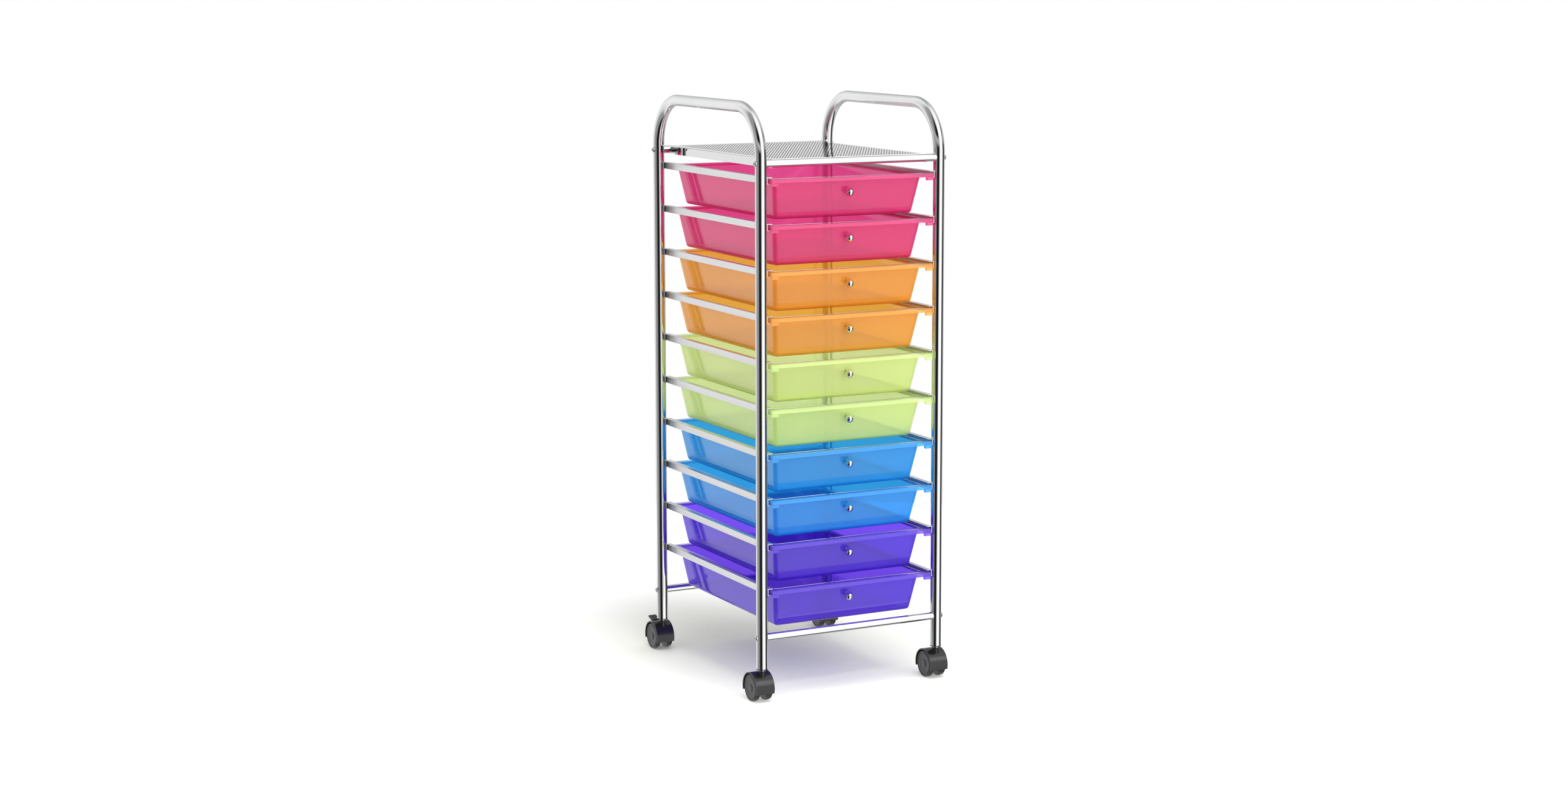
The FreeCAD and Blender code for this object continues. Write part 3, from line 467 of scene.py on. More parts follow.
class Finish:
    """A material under construction: nodes are added and linked by short calls."""

    def __init__(self, name):
        self.material = bpy.data.materials.new(name)
        self.material.use_nodes = True
        self.tree = self.material.node_tree
        self.tree.nodes.clear()
        self.place = self.node("ShaderNodeTexCoord")

    def node(self, kind, links=(), **values):
        """Adds a node to the material."""
        return add_node(self.tree, kind, links, **values)

    def mark(self, name):
        """Number stored on the mesh's own points."""
        made = self.node("ShaderNodeAttribute")
        made.attribute_name = name
        return made.outputs["Fac"]

    def noise(self, scale, detail=3.0, stretch=(1, 1, 1)):
        """Noise in Object coordinates, from 0 to 1."""
        mapped = self.node("ShaderNodeMapping", {"Vector": self.place.outputs["Object"]}, Scale=stretch)
        made = self.node("ShaderNodeTexNoise", {"Vector": mapped}, Scale=scale, Detail=detail)
        return made.outputs["Fac"]

    def between(self, factor, low, high):
        """Number that runs from low to high as a noise does."""
        span = {"From_Min": 0.3, "From_Max": 0.7, "To_Min": low, "To_Max": high}
        return self.node("ShaderNodeMapRange", {"Value": factor}, **span).outputs["Result"]

    def blend(self, factor, low, high):
        """Colour that runs between two colours, each plain or from a socket."""
        made = self.tree.nodes.new("ShaderNodeMix")
        made.data_type = "RGBA"
        self.tree.links.new(factor, made.inputs["Factor"])
        for index, value in ((6, low), (7, high)):
            if isinstance(value, bpy.types.NodeSocket):
                self.tree.links.new(value, made.inputs[index])
            else:
                made.inputs[index].default_value = (*value[:3], 1)
        return made.outputs[2]

    def bump(self, height, distance):
        """Surface relief of a height in metres."""
        return self.node("ShaderNodeBump", {"Height": height}, Distance=distance).outputs["Normal"]

    def mix(self, factor, low, high):
        """Mix of two shader nodes by a plain number or a socket."""
        made = self.node("ShaderNodeMixShader", {1: low, 2: high})
        if isinstance(factor, bpy.types.NodeSocket):
            self.tree.links.new(factor, made.inputs[0])
        else:
            made.inputs[0].default_value = factor
        return made

    def show(self, shader):
        """Links the finished shader node and returns the material."""
        self.node("ShaderNodeOutputMaterial", {"Surface": shader})
        return self.material


def scaled(tint, factor):
    """Colour made darker or lighter."""
    return tuple(min(channel * factor, 1.0) for channel in tint)


def plated_metal(name, tint, rough, grain, stretch=(1, 1, 1), relief=2e-6):
    """Plated metal: cloudy tint, uneven gloss and a fine relief."""
    finish = Finish(name)
    cloud = finish.noise(scale=14, detail=4, stretch=stretch)
    fine = finish.noise(scale=grain, detail=5, stretch=stretch)
    shader = finish.node(
        "ShaderNodeBsdfPrincipled",
        {
            "Base Color": finish.blend(cloud, scaled(tint, 0.94), scaled(tint, 1.04)),
            "Roughness": finish.between(fine, *rough),
            "Normal": finish.bump(fine, relief),
        },
        Metallic=1.0,
    )
    return finish.show(shader)


def tinted_plastic(name, tint, settings):
    """Clear tinted moulding, glossy and see-through, with painted shade that deepens its tint at the
    corners and base and painted light that makes its lip paler.
    """
    finish = Finish(name)
    depth = finish.mark("depth")
    cloud = finish.noise(scale=9, detail=3)
    ripple = finish.noise(scale=26, detail=2, stretch=(1, 1, 0.35))
    lifted = math_node(finish.tree, "MULTIPLY", depth, -1)
    # Shares of painted shade and painted light, read from the points' marks.
    painted_shade_share, painted_light_share = (
        finish.node("ShaderNodeClamp", {"Value": value}).outputs[0] for value in (depth, lifted)
    )

    def shade(exponent):
        plain = tuple(channel**exponent for channel in tint)
        painted_deep = tuple(channel**settings.painted_shade_deepening for channel in plain)
        pale = tuple(channel + (1 - channel) * settings.painted_lip_paling for channel in plain)
        cloudy = finish.blend(cloud, scaled(plain, 0.97), scaled(plain, 1.03))
        return finish.blend(painted_light_share, finish.blend(painted_shade_share, cloudy, painted_deep), pale)

    relief = finish.bump(ripple, distance=6e-6)
    rough = finish.between(cloud, 0.03, 0.08)
    surface = finish.node(
        "ShaderNodeBsdfPrincipled",
        {"Base Color": shade(1.0), "Roughness": rough, "Normal": relief},
        Specular_IOR_Level=0.0,
    )
    inner = finish.node("ShaderNodeBsdfTranslucent", {"Color": shade(0.8)})
    clear = finish.node("ShaderNodeBsdfTransparent", {"Color": shade(0.6)})
    stopped = finish.mix(settings.glow, surface, inner)
    moulding = finish.mix(settings.body, clear, stopped)
    gloss = finish.node("ShaderNodeBsdfGlossy", {"Roughness": rough, "Normal": relief})
    facing = finish.node("ShaderNodeLayerWeight").outputs["Facing"]
    edge_on = math_node(finish.tree, "POWER", facing, 4)
    glancing = math_node(finish.tree, "MULTIPLY", edge_on, settings.glancing_shine)
    straight = finish.between(finish.mark("inside"), settings.shine, settings.inside_shine)
    shine = math_node(finish.tree, "ADD", glancing, straight)
    return finish.show(finish.mix(shine, moulding, gloss))


def moulded_plastic(name, tint, rough, grain_depth):
    """Opaque polished moulding with a fine grain and slight scuffs."""
    finish = Finish(name)
    scuff = finish.noise(scale=60, detail=5)
    grain = finish.noise(scale=1400, detail=2)
    shader = finish.node(
        "ShaderNodeBsdfPrincipled",
        {
            "Base Color": finish.blend(scuff, scaled(tint, 0.8), scaled(tint, 1.35)),
            "Roughness": finish.between(scuff, *rough),
            "Normal": finish.bump(grain, grain_depth),
        },
        Specular_IOR_Level=0.6,
    )
    return finish.show(shader)


def paint_node(node, finish):
    """Gives a CAD node that stays in view its finish."""
    paint(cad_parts[node].data, finish)


def named_finish(name, make):
    """Finish made once and used by several pieces."""
    return bpy.data.materials.get(name) or make(name)


def chrome_finish():
    """Bright plating of the tubes and knobs."""
    tint = SCENE.cart_tubes.chrome
    return named_finish(
        "bright chrome", lambda name: plated_metal(name, tint, rough=(0.015, 0.045), grain=350, relief=2e-7)
    )


def zinc_finish():
    """Zinc plating of the screws, stems and axles."""
    tint = SCENE.cart_screws.zinc
    return named_finish("zinc plating", lambda name: plated_metal(name, tint, rough=(0.1, 0.2), grain=600))


def black_finish():
    """Black moulding of the hoods, levers and sockets."""
    tint = SCENE.cart_casters.black
    return named_finish(
        "black moulding", lambda name: moulded_plastic(name, tint, rough=(0.14, 0.26), grain_depth=3e-6)
    )


# Pieces


class CART_OT_side_tubes(bpy.types.Operator):
    """Builds the two bent side tubes with their handles"""

    bl_idname = "cart.side_tubes"
    bl_label = "Side Tubes"

    def execute(self, context):
        tubes = context.scene.cart_tubes
        for side in SIDES:
            node = f"{side}_side_tube"
            low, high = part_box(node)
            bm = bmesh.new()
            frames = handle_path(low, high, tubes)
            outer = [circle(tubes.post_radius, tubes.around, place) for place in frames]
            bore = tubes.post_radius - tubes.post_wall
            inner = [circle(bore, tubes.around, place) for place in reversed(frames)]
            add_skin(bm, outer + inner, close=True)
            add_piece(f"{side}_side_rail", to_mesh(bm, node), chrome_finish(), "frame", node)
        return {"FINISHED"}


def handle_path(low, high, tubes):
    """Matrices along a side tube, from the front foot over the handle to the rear foot."""
    x = (low.x + high.x) / 2
    front = low.y + tubes.post_radius
    rear = high.y - tubes.post_radius
    bend = tubes.handle_bend
    knee = high.z - tubes.post_radius - bend
    points = [(front, low.z, 0.0)]
    for centre, start in ((front + bend, 0), (rear - bend, 90)):
        for turn in range(tubes.bend_steps + 1):
            angle = math.radians(start + 90 * turn / tubes.bend_steps)
            points.append((centre - bend * math.cos(angle), knee + bend * math.sin(angle), angle))
    points.append((rear, low.z, math.pi))
    return [Matrix.Translation((x, y, z)) @ Matrix.Rotation(-angle, 4, "X") for y, z, angle in points]


class CART_OT_cross_tubes(bpy.types.Operator):
    """Builds the shelf tubes and base tubes, coped to the posts"""

    bl_idname = "cart.cross_tubes"
    bl_label = "Cross Tubes"

    def execute(self, context):
        tubes = context.scene.cart_tubes
        post_x = middle("right_side_tube").x
        saddle = tubes.post_radius + tubes.saddle_gap
        for name in CROSS_TUBES:
            low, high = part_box(f"{name}_tube")
            radius = (high.z - low.z) / 2
            axis = Vector((0, (low.y + high.y) / 2, (low.z + high.z) / 2))
            rings = []
            for ring_radius, ends in ((radius, (-1, 1)), (radius - tubes.cross_wall, (1, -1))):
                for end in ends:
                    ring = []
                    for i in range(tubes.around):
                        angle = 2 * math.pi * i / tubes.around
                        across = ring_radius * math.cos(angle)
                        x = post_x - math.sqrt(saddle**2 - across**2)
                        ring.append(axis + Vector((end * x, across, ring_radius * math.sin(angle))))
                    rings.append(ring)
            bm = bmesh.new()
            add_skin(bm, rings, close=True)
            add_piece(f"{name}_bar", to_mesh(bm, name), chrome_finish(), "frame", f"{name}_tube")
        return {"FINISHED"}


class CART_OT_rails(bpy.types.Operator):
    """Finishes the drawer rails"""

    bl_idname = "cart.rails"
    bl_label = "Drawer Rails"

    def execute(self, context):
        tint = context.scene.cart_tubes.rail_steel
        drawn = (1, 0.03, 1)
        steel = plated_metal(
            "plated rail steel", tint, rough=(0.28, 0.38), grain=240, stretch=drawn, relief=2e-7
        )
        for side in SIDES:
            paint_node(f"{side}_drawer_rails", steel)
        return {"FINISHED"}


class CART_OT_shelf(bpy.types.Operator):
    """Builds the perforated shelf tray with its folded sides"""

    bl_idname = "cart.shelf"
    bl_label = "Shelf Tray"

    def execute(self, context):
        shelf = context.scene.cart_shelf
        low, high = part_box("top_shelf_tray")
        rolled = (1, 0.1, 1)
        steel = plated_metal(
            "plated shelf sheet", shelf.steel, rough=(0.03, 0.08), grain=300, stretch=rolled, relief=3e-7
        )
        bm = bmesh.new()
        bm.from_mesh(perforated_mesh(shelf, low, high, steel))
        for end in (-1, 1):
            add_end_border(bm, shelf, low, high, end)
        for side in (-1, 1):
            add_folded_side(bm, shelf, low, high, side)
        add_piece("shelf_tray", as_mesh(bm, "shelf_tray"), steel, "frame", "top_shelf_tray")
        return {"FINISHED"}


def perforated_mesh(shelf, low, high, steel):
    """The holed part of the shelf, in place."""
    pitch = shelf.hole_pitch
    half_x = (high.x - low.x) / 2 - shelf.side_border
    half_y = (high.y - low.y) / 2 - shelf.end_border
    columns = int(2 * half_x / pitch)
    rows = int(2 * half_y / (pitch * ROW_STEP))
    bm = bmesh.new()
    outer = pitch / math.sqrt(3)
    inner = shelf.hole_width / math.sqrt(3)
    angles = [math.radians(30 + 60 * i) for i in range(6)]
    rings = []
    for radius, z in ((outer, 0), (inner, 0), (inner, -shelf.sheet), (outer, -shelf.sheet)):
        rings.append([Vector((radius * math.cos(a), radius * math.sin(a), z)) for a in angles])
    add_skin(bm, rings)
    for face in bm.faces:
        face.normal_flip()
    cell_mesh = bpy.data.meshes.new("shelf_cell")
    bm.to_mesh(cell_mesh)
    bm.free()
    cell = held("shelf_cell", cell_mesh)
    holder = held("shelf_holes", bpy.data.meshes.new("shelf_holes"))
    pattern = {"Cell": cell, "Pitch": pitch, "Columns": columns, "Rows": rows, "Material": steel}
    mesh = run_tree(holder, perforation_tree(), **pattern)
    bpy.data.objects.remove(cell)
    mesh.transform(Matrix.Translation((0, (low.y + high.y) / 2, high.z)))
    return mesh


def add_box(bm, low, high):
    """Closed box."""
    rings = []
    for z in (low[2], high[2]):
        corners = ((low[0], low[1]), (high[0], low[1]), (high[0], high[1]), (low[0], high[1]))
        rings.append([Vector((x, y, z)) for x, y in corners])
    add_skin(bm, rings, cap_first=True, cap_last=True)


def add_end_border(bm, shelf, low, high, end):
    """Plain strip at the front or rear end of the shelf."""
    edge = high.y if end > 0 else -low.y
    inside = edge - shelf.end_border - shelf.hole_pitch / 2
    lap = shelf.end_lap
    ys = sorted((end * inside, end * edge))
    half = high.x - shelf.fold_radius
    add_box(bm, (-half, ys[0], high.z - shelf.sheet - lap), (half, ys[1], high.z + lap))


def add_folded_side(bm, shelf, low, high, side):
    """Plain strip along one side, folded down and coped to the tubes."""
    sheet, fold, lap = shelf.sheet, shelf.fold_radius, shelf.side_lap
    inside = high.x - shelf.side_border - shelf.hole_pitch / 2
    centre = (high.x - fold, high.z - fold)
    outer = [(inside, high.z + lap)] + arc(centre, fold + lap, 90, 0, 6)
    inner = [(inside, high.z - sheet - lap)] + arc(centre, fold - sheet - lap, 90, 0, 6)
    steps = 10
    for i in range(1, steps + 1):
        z = centre[1] + (low.z - centre[1]) * i / steps
        outer.append((high.x + lap, z))
        inner.append((high.x - sheet - lap, z))
    tube_y, tube_z = middle("top_rear_tube").yz
    rings = []
    for x, z in outer + list(reversed(inner)):
        room = shelf.cope_radius**2 - (z - tube_z) ** 2
        reach = min(high.y, tube_y - math.sqrt(room)) if room > 0 else high.y
        rings.append([Vector((side * x, -reach, z)), Vector((side * x, reach, z))])
    verts = [[bm.verts.new(point) for point in ring] for ring in rings]
    made = []
    count = len(verts)
    half = len(outer)
    for i in range(count):
        j = (i + 1) % count
        made.append(bm.faces.new((verts[i][0], verts[j][0], verts[j][1], verts[i][1])))
    for end in (0, 1):
        for i in range(half - 1):
            a, b = i, count - 1 - i
            made.append(bm.faces.new((verts[a][end], verts[a + 1][end], verts[b - 1][end], verts[b][end])))
    bmesh.ops.recalc_face_normals(bm, faces=made)


class CART_OT_frame_screws(bpy.types.Operator):
    """Builds the dome-headed screws on the outer sides of the posts"""

    bl_idname = "cart.frame_screws"
    bl_label = "Frame Screws"

    def execute(self, context):
        screws = context.scene.cart_screws
        tubes = context.scene.cart_tubes
        places = bpy.data.meshes.new("screw_places")
        spots, facing = [], []
        for side, sign in zip(SIDES, (-1, 1)):
            low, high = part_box(f"{side}_side_tube")
            seat = low.x - tubes.saddle_gap if sign < 0 else high.x + tubes.saddle_gap
            for name in CROSS_TUBES:
                axis = middle(f"{name}_tube")
                spots.append((seat, axis.y, axis.z))
                facing.append((sign, 0, 0))
        places.from_pydata(spots, [], [])
        outward = places.attributes.new("outward", "FLOAT_VECTOR", "POINT")
        for item, direction in zip(outward.data, facing):
            item.vector = direction
        shank = (screws.shank_radius, screws.shank_length)
        mesh = screw_mesh("frame_screw", screws.head_radius, screws.head_height, *shank)
        screw = held("frame_screw_shape", mesh)
        finish = zinc_finish()
        made = run_tree(held("frame_screw_set", places), fastening_tree(), Screw=screw, Material=finish)
        bpy.data.objects.remove(screw)
        soften(made)
        add_piece("frame_screw_heads", made, finish, "frame", "frame_screws")
        return {"FINISHED"}


def screw_mesh(name, head_radius, head_height, shank_radius, shank_length):
    """Screw with a domed head and a cross recess, seated at its local origin, head towards +Z."""
    bm = bmesh.new()
    side = head_height * 0.3
    rise = head_height - side
    turns = [math.radians(degrees) for degrees in range(0, 86, 12)]
    dome = [(head_radius * math.cos(turn), side + rise * math.sin(turn)) for turn in turns]
    tip = shank_radius * 0.3
    profile = [(0, head_height)] + list(reversed(dome)) + [(head_radius, 0), (shank_radius, 0)]
    profile += [(shank_radius, tip - shank_length), (shank_radius - tip, -shank_length), (0, -shank_length)]
    add_lathe(bm, profile, SCREW_AROUND, Matrix())
    holder = held(name, to_mesh(bm, name))
    cutter = bmesh.new()
    floor, above = head_height * 0.42, head_height * 1.2
    mouth = (head_radius * 0.62, head_radius * 0.13)
    root = (mouth[0] * 0.45, mouth[1] * 0.8)
    for step in (1, -1):
        rings = []
        for size, z in ((root[::step], floor), (mouth[::step], above)):
            corners = ((-1, -1), (1, -1), (1, 1), (-1, 1))
            rings.append([Vector((x * size[0], y * size[1], z)) for x, y in corners])
        add_skin(cutter, rings, cap_first=True, cap_last=True)
    tool = held(f"{name}_recess", to_mesh(cutter, f"{name}_recess"))
    cut = holder.modifiers.new("Recess", "BOOLEAN")
    cut.operation = "DIFFERENCE"
    cut.object = tool
    cut.solver = "EXACT"
    cut.use_self = True
    mesh = applied(holder)
    bpy.data.objects.remove(tool)
    soften(mesh)
    return mesh


class CART_OT_drawers(bpy.types.Operator):
    """Builds the tinted drawers"""

    bl_idname = "cart.drawers"
    bl_label = "Drawers"

    def execute(self, context):
        drawers = context.scene.cart_drawers
        for number in range(1, DRAWERS + 1):
            tint = TINTS[(number - 1) // DRAWERS_PER_COLOUR]
            plastic = named_finish(
                f"clear {tint} moulding", lambda name: tinted_plastic(name, getattr(drawers, tint), drawers)
            )
            node, body = f"drawer_{number}", f"drawer_unit_{number}"
            mesh = drawer_mesh(node, drawers)
            add_piece(f"{tint}_drawer_{number}", mesh, plastic, body, node)
        return {"FINISHED"}


def rounded_ring(half, front, rear, radius, z):
    """Rounded rectangle with a point just past each arc; gives points and whether each is on an arc."""
    points, on_arc = [], []
    steps, past = 8, 0.0015
    centres = (
        (half - radius, rear - radius, 0),
        (-half + radius, rear - radius, 90),
        (-half + radius, -front + radius, 180),
        (half - radius, -front + radius, 270),
    )
    for x, y, start in centres:
        for i in range(steps + 1):
            angle = math.radians(start + 90 * i / steps)
            place = Vector((x + radius * math.cos(angle), y + radius * math.sin(angle), z))
            along = Vector((-math.sin(angle), math.cos(angle), 0))
            if i == 0:
                points.append(place - along * past)
                on_arc.append(False)
            points.append(place)
            on_arc.append(True)
            if i == steps:
                points.append(place + along * past)
                on_arc.append(False)
    return points, on_arc


def drawer_mesh(node, drawers):
    """Drawer as one closed skin, from the inner floor over the lip to the underside, plus its stop tabs."""
    low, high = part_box(node)
    half, front, rear, top = high.x, -low.y, high.y, high.z
    height = high.z - low.z
    side_slope, end_slope = math.tan(drawers.side_draft), math.tan(drawers.end_draft)
    rings, marks, insides = [], [], []

    def lip_ring(inset, depth):
        radius = max(drawers.lip_corner - inset, drawers.tightest_lip)
        ring, _ = rounded_ring(half - inset, front - inset, rear - inset, radius, top - depth)
        rings.append(ring)
        marks.append([PAINTED_LIP_LIGHT] * len(ring))
        insides.append(0.0)

    def tub_ring(depth, wall, inset, mark):
        side = drawers.side_overhang + depth * side_slope + wall + inset
        end = drawers.end_overhang + depth * end_slope + wall + inset
        radius = max(drawers.corner_radius - wall - inset, drawers.tightest_corner)
        ring, on_arc = rounded_ring(half - side, front - end, rear - end, radius, top - depth)
        rings.append(ring)
        # Points on the corner arcs get at least the corners' painted shade.
        marks.append([max(mark, CORNER) if arc_point else mark for arc_point in on_arc])
        insides.append(1.0 if wall else 0.0)

    def fillet_rings(floor, wall, radius, upward):
        steps = 5
        turns = [90 * i / steps for i in range(steps + 1)]
        for turn in turns if upward else reversed(turns):
            angle = math.radians(turn)
            tub_ring(floor - radius * (1 - math.cos(angle)), wall, radius * (1 - math.sin(angle)), PAINTED_BASE_SHADE)

    wall, sheet, skirt, edge = drawers.wall, drawers.lip_sheet, drawers.lip_skirt, drawers.edge_round
    floor = height - wall
    inner_radius = drawers.base_radius - wall
    ease, half_edge = edge * 0.3, edge / 2
    fillet_rings(floor, wall, inner_radius, True)
    tub_ring(floor - inner_radius - drawers.base_fade, wall, 0, PLAIN)
    tub_ring(drawers.lip_fade, wall, 0, PLAIN)
    tub_ring(edge, wall, 0, UNDER_LIP)
    tub_ring(ease, wall, -ease, PAINTED_LIP_LIGHT)
    tub_ring(0, wall, -edge, PAINTED_LIP_LIGHT)
    for inset, depth in ((edge, 0), (ease, ease), (0, edge)):
        lip_ring(inset, depth)
    lip_ring(0, skirt - half_edge)
    lip_ring(half_edge, skirt)
    lip_ring(sheet - half_edge, skirt)
    lip_ring(sheet, skirt - half_edge)
    lip_ring(sheet, sheet)
    tub_ring(sheet, 0, 0, UNDER_LIP)
    tub_ring(skirt, 0, 0, PLAIN)
    tub_ring(height - drawers.base_radius - drawers.base_fade, 0, 0, PLAIN)
    fillet_rings(height, 0, drawers.base_radius, False)

    bm = bmesh.new()
    for layer in ("depth", "inside"):
        bm.verts.layers.float.new(layer)
    light_and_shade_layer, inside_layer = (bm.verts.layers.float[layer] for layer in ("depth", "inside"))
    loops = add_skin(bm, rings, cap_first=True, cap_last=True)
    for loop, mark, inside in zip(loops, marks, insides):
        for vert, value in zip(loop, mark):
            vert[light_and_shade_layer] = value
            vert[inside_layer] = inside
    for sign in (-1, 1):
        # The stop tabs carry the lip's painted light.
        for loop in add_stop_tab(bm, drawers, sign, half, front, top):
            for vert in loop:
                vert[light_and_shade_layer] = PAINTED_LIP_LIGHT
    return to_mesh(bm, node)


def add_stop_tab(bm, drawers, sign, half, front, top):
    """Loops of the stop tab under one end of the front lip."""
    outer = half - drawers.tab_inset
    inner = outer - drawers.tab_width
    gap, ease = drawers.tab_gap, drawers.tab_ease
    back = -front + drawers.tab_depth
    behind_skirt = -front + drawers.lip_sheet + gap
    foot = top - drawers.lip_skirt - drawers.tab_drop
    under_lip = top - drawers.lip_sheet - gap
    under_skirt = top - drawers.lip_skirt - gap
    outline = (
        (-front, foot + ease),
        (-front + ease, foot),
        (back - ease, foot),
        (back, foot + ease),
        (back, under_lip),
        (behind_skirt, under_lip),
        (behind_skirt, under_skirt),
        (-front, under_skirt),
    )
    rings = [[Vector((sign * x, y, z)) for y, z in outline] for x in (inner, outer)]
    return add_skin(bm, rings, cap_first=True, cap_last=True)


class CART_OT_knobs(bpy.types.Operator):
    """Builds the ball knobs and the screws that hold them"""

    bl_idname = "cart.knobs"
    bl_label = "Knobs"

    def execute(self, context):
        knobs = context.scene.cart_knobs
        drawers = context.scene.cart_drawers
        chrome, zinc = chrome_finish(), zinc_finish()
        wall = drawers.wall * math.cos(drawers.end_draft)
        for number in range(1, DRAWERS + 1):
            body = f"drawer_unit_{number}"
            seat = knob_seat(f"drawer_{number}", knobs, drawers)
            bm = bmesh.new()
            add_lathe(bm, knob_profile(knobs), KNOB_AROUND, seat)
            ball = to_mesh(bm, "ball_knob")
            add_piece(f"ball_knob_{number}", ball, chrome, body, f"knob_{number}")
            shank = (knobs.screw_radius, wall + knobs.screw_reach)
            mesh = screw_mesh("knob_screw", knobs.head_radius, knobs.head_height, *shank)
            inside = Matrix.Translation((0, 0, -wall)) @ Matrix.Rotation(math.pi, 4, "X")
            mesh.transform(seat @ inside)
            add_piece(f"knob_fastener_{number}", mesh, zinc, body, f"knob_screw_{number}")
        return {"FINISHED"}


def knob_seat(node, knobs, drawers):
    """Matrix at the knob's foot on a drawer's front, +Z outward."""
    low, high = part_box(node)
    y = low.y + drawers.end_overhang + knobs.drop * math.tan(drawers.end_draft)
    turn = Matrix.Rotation(math.radians(90) + drawers.end_draft, 4, "X")
    return Matrix.Translation((0, y, high.z - knobs.drop)) @ turn


def knob_profile(knobs):
    """Radius and height from the foot to the ball's top."""
    foot, neck, ball = knobs.foot_radius, knobs.neck_radius, knobs.ball_radius
    ease = knobs.foot_height * 0.25
    profile = [(0, 0), (foot, 0), (foot, knobs.foot_height - ease), (foot - ease, knobs.foot_height)]
    profile += [(neck + ease, knobs.foot_height + ease * 0.4), (neck, knobs.foot_height + ease * 2)]
    start = math.degrees(math.acos(neck / ball))
    profile += arc((0, knobs.standoff), ball, -start, 86, 24)
    return profile + [(0, knobs.standoff + ball)]


class CART_OT_casters(bpy.types.Operator):
    """Builds the caster hoods, wheels and brake levers and finishes their pins"""

    bl_idname = "cart.casters"
    bl_label = "Casters"

    def execute(self, context):
        casters = context.scene.cart_casters
        black, zinc = black_finish(), zinc_finish()
        tint = casters.wheel_grey
        grey = moulded_plastic("grey wheel moulding", tint, rough=(0.24, 0.36), grain_depth=6e-6)
        for corner in CORNERS:
            caster = f"{corner}_caster"
            node = f"{corner}_caster_hood"
            mesh = rounded_copy(node, casters.edge_round)
            add_piece(f"{corner}_hood_shell", mesh, black, caster, node)
            paint_node(f"{corner}_caster_axle", zinc)
            for side, sign in zip(SIDES, (-1, 1)):
                node, body = f"{corner}_{side}_wheel", f"{caster}_{side}_wheel"
                mesh = wheel_mesh(node, sign, casters)
                add_piece(f"{corner}_{side}_roller", mesh, grey, body, node)
            if corner in BRAKED:
                node = f"{corner}_brake_lever"
                mesh = rounded_copy(node, casters.edge_round)
                add_piece(f"{corner}_foot_lever", mesh, black, f"{caster}_brake", node)
        paint_node("caster_sockets", black)
        paint_node("caster_stems", zinc)
        return {"FINISHED"}


# Face of a wheel from the tread's edge to the centre: depth in the face and radius, in metres.
WHEEL_FACE = (
    (0, 0.0195),
    (0.0003, 0.0191),
    (0.0011, 0.0189),
    (0.0011, 0.0182),
    (0.0003, 0.018),
    (0.0002, 0.0176),
    (0.0009, 0.0135),
    (0.0009, 0.0072),
    (0.0004, 0.0066),
    (0.0001, 0.0058),
    (0, 0),
)


def wheel_mesh(node, sign, casters):
    """Wheel with a rounded tread, a dished face with a raised rim and cap, and an inner hub."""
    low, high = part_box(node)
    radius = (high.z - low.z) / 2
    centre = (low + high) / 2
    hub_end, face = (high.x, low.x) if sign < 0 else (low.x, high.x)
    width = abs(face - hub_end)
    inner = width - casters.tread_width
    bore, hub, shoulder = casters.bore_radius, casters.hub_radius, casters.tread_round
    profile = [(0.0, bore), (0.0, hub), (inner, hub)]
    profile += arc((inner + shoulder, radius - shoulder), shoulder, 180, 90, 5)
    profile += arc((width - shoulder, radius - shoulder), shoulder, 90, 0, 5)
    profile += [(width - depth, ring) for depth, ring in WHEEL_FACE]
    blind = width - casters.face_wall
    matrix = Matrix.Translation((hub_end, centre.y, centre.z)) @ Matrix.Rotation(sign * math.pi / 2, 4, "Y")
    bm = bmesh.new()
    for outline in (profile, [(blind, 0.0), (blind, bore), (0.0, bore)]):
        places = [(r, matrix @ Matrix.Translation((0, 0, x))) for x, r in outline]
        add_skin(bm, [circle(r, WHEEL_AROUND, place) for r, place in places])
    bmesh.ops.remove_doubles(bm, verts=bm.verts, dist=SAME_POINT)
    return to_mesh(bm, node)


# Stage

AIM = (0, 0, 0.5)
FLOOR_RADIUS = 1.4

# Tints of the floor, dark and light: under the cart, with a painted warm cast that cancels the violet light
# the purple drawers pass onto it; around it; and in the light that it throws back.
FLOOR_TINTS = (
    ((0.66, 0.66, 0.59), (0.68, 0.68, 0.61)),
    ((0.66, 0.66, 0.65), (0.68, 0.68, 0.67)),
    ((0.79, 0.79, 0.79), (0.81, 0.81, 0.81)),
)

# Distances from the cart's middle between which the floor's painted warm cast turns to its plain tint, and
# the oval past which a painted glow lifts the floor to white, keeping the shadow inside it.
WARM_CAST_TURNS = (0.25, 0.6)
PAINTED_GLOW_OVAL = {"Location": (0.01, 0.23, 0), "Rotation": (0, 0, 0.18), "Scale": (1, 1.55, 1)}
PAINTED_GLOW_FADES = (0.05, 0.885)

# Soft lamps: name, place and width, in metres.
LAMPS = (
    ("front", (0.9, -3.4, 1.9), 2.6),
    ("side", (-3.2, -0.6, 1.3), 2.6),
    ("top", (0.0, -1.2, 3.0), 1.6),
)

# Studio seen in polished metal, round the camera's direction: turn in degrees and level.
STUDIO_LEVELS = (
    (-180, 0.36),
    (-156, 0.6),
    (-128, 0.84),
    (-108, 0.66),
    (-90, 0.31),
    (-60, 0.28),
    (-48, 0.21),
    (-36, 0.045),
    (-24, 0.008),
    (-6, 0.006),
    (3, 0.04),
    (12, 0.36),
    (22, 0.9),
    (32, 1.0),
    (62, 1.0),
    (75, 0.3),
    (86, 0.015),
    (108, 0.02),
    (120, 0.4),
    (140, 0.55),
    (180, 0.36),
)

# Panels seen in polished metal: direction, cosines at the edge and where it is full, and level.
PANELS = (
    ((0.3, -0.4, 0.866), 0.7, 0.97, 0.95),
    ((0.32, -0.74, 0.592), 0.93, 0.99, 2.5),
)

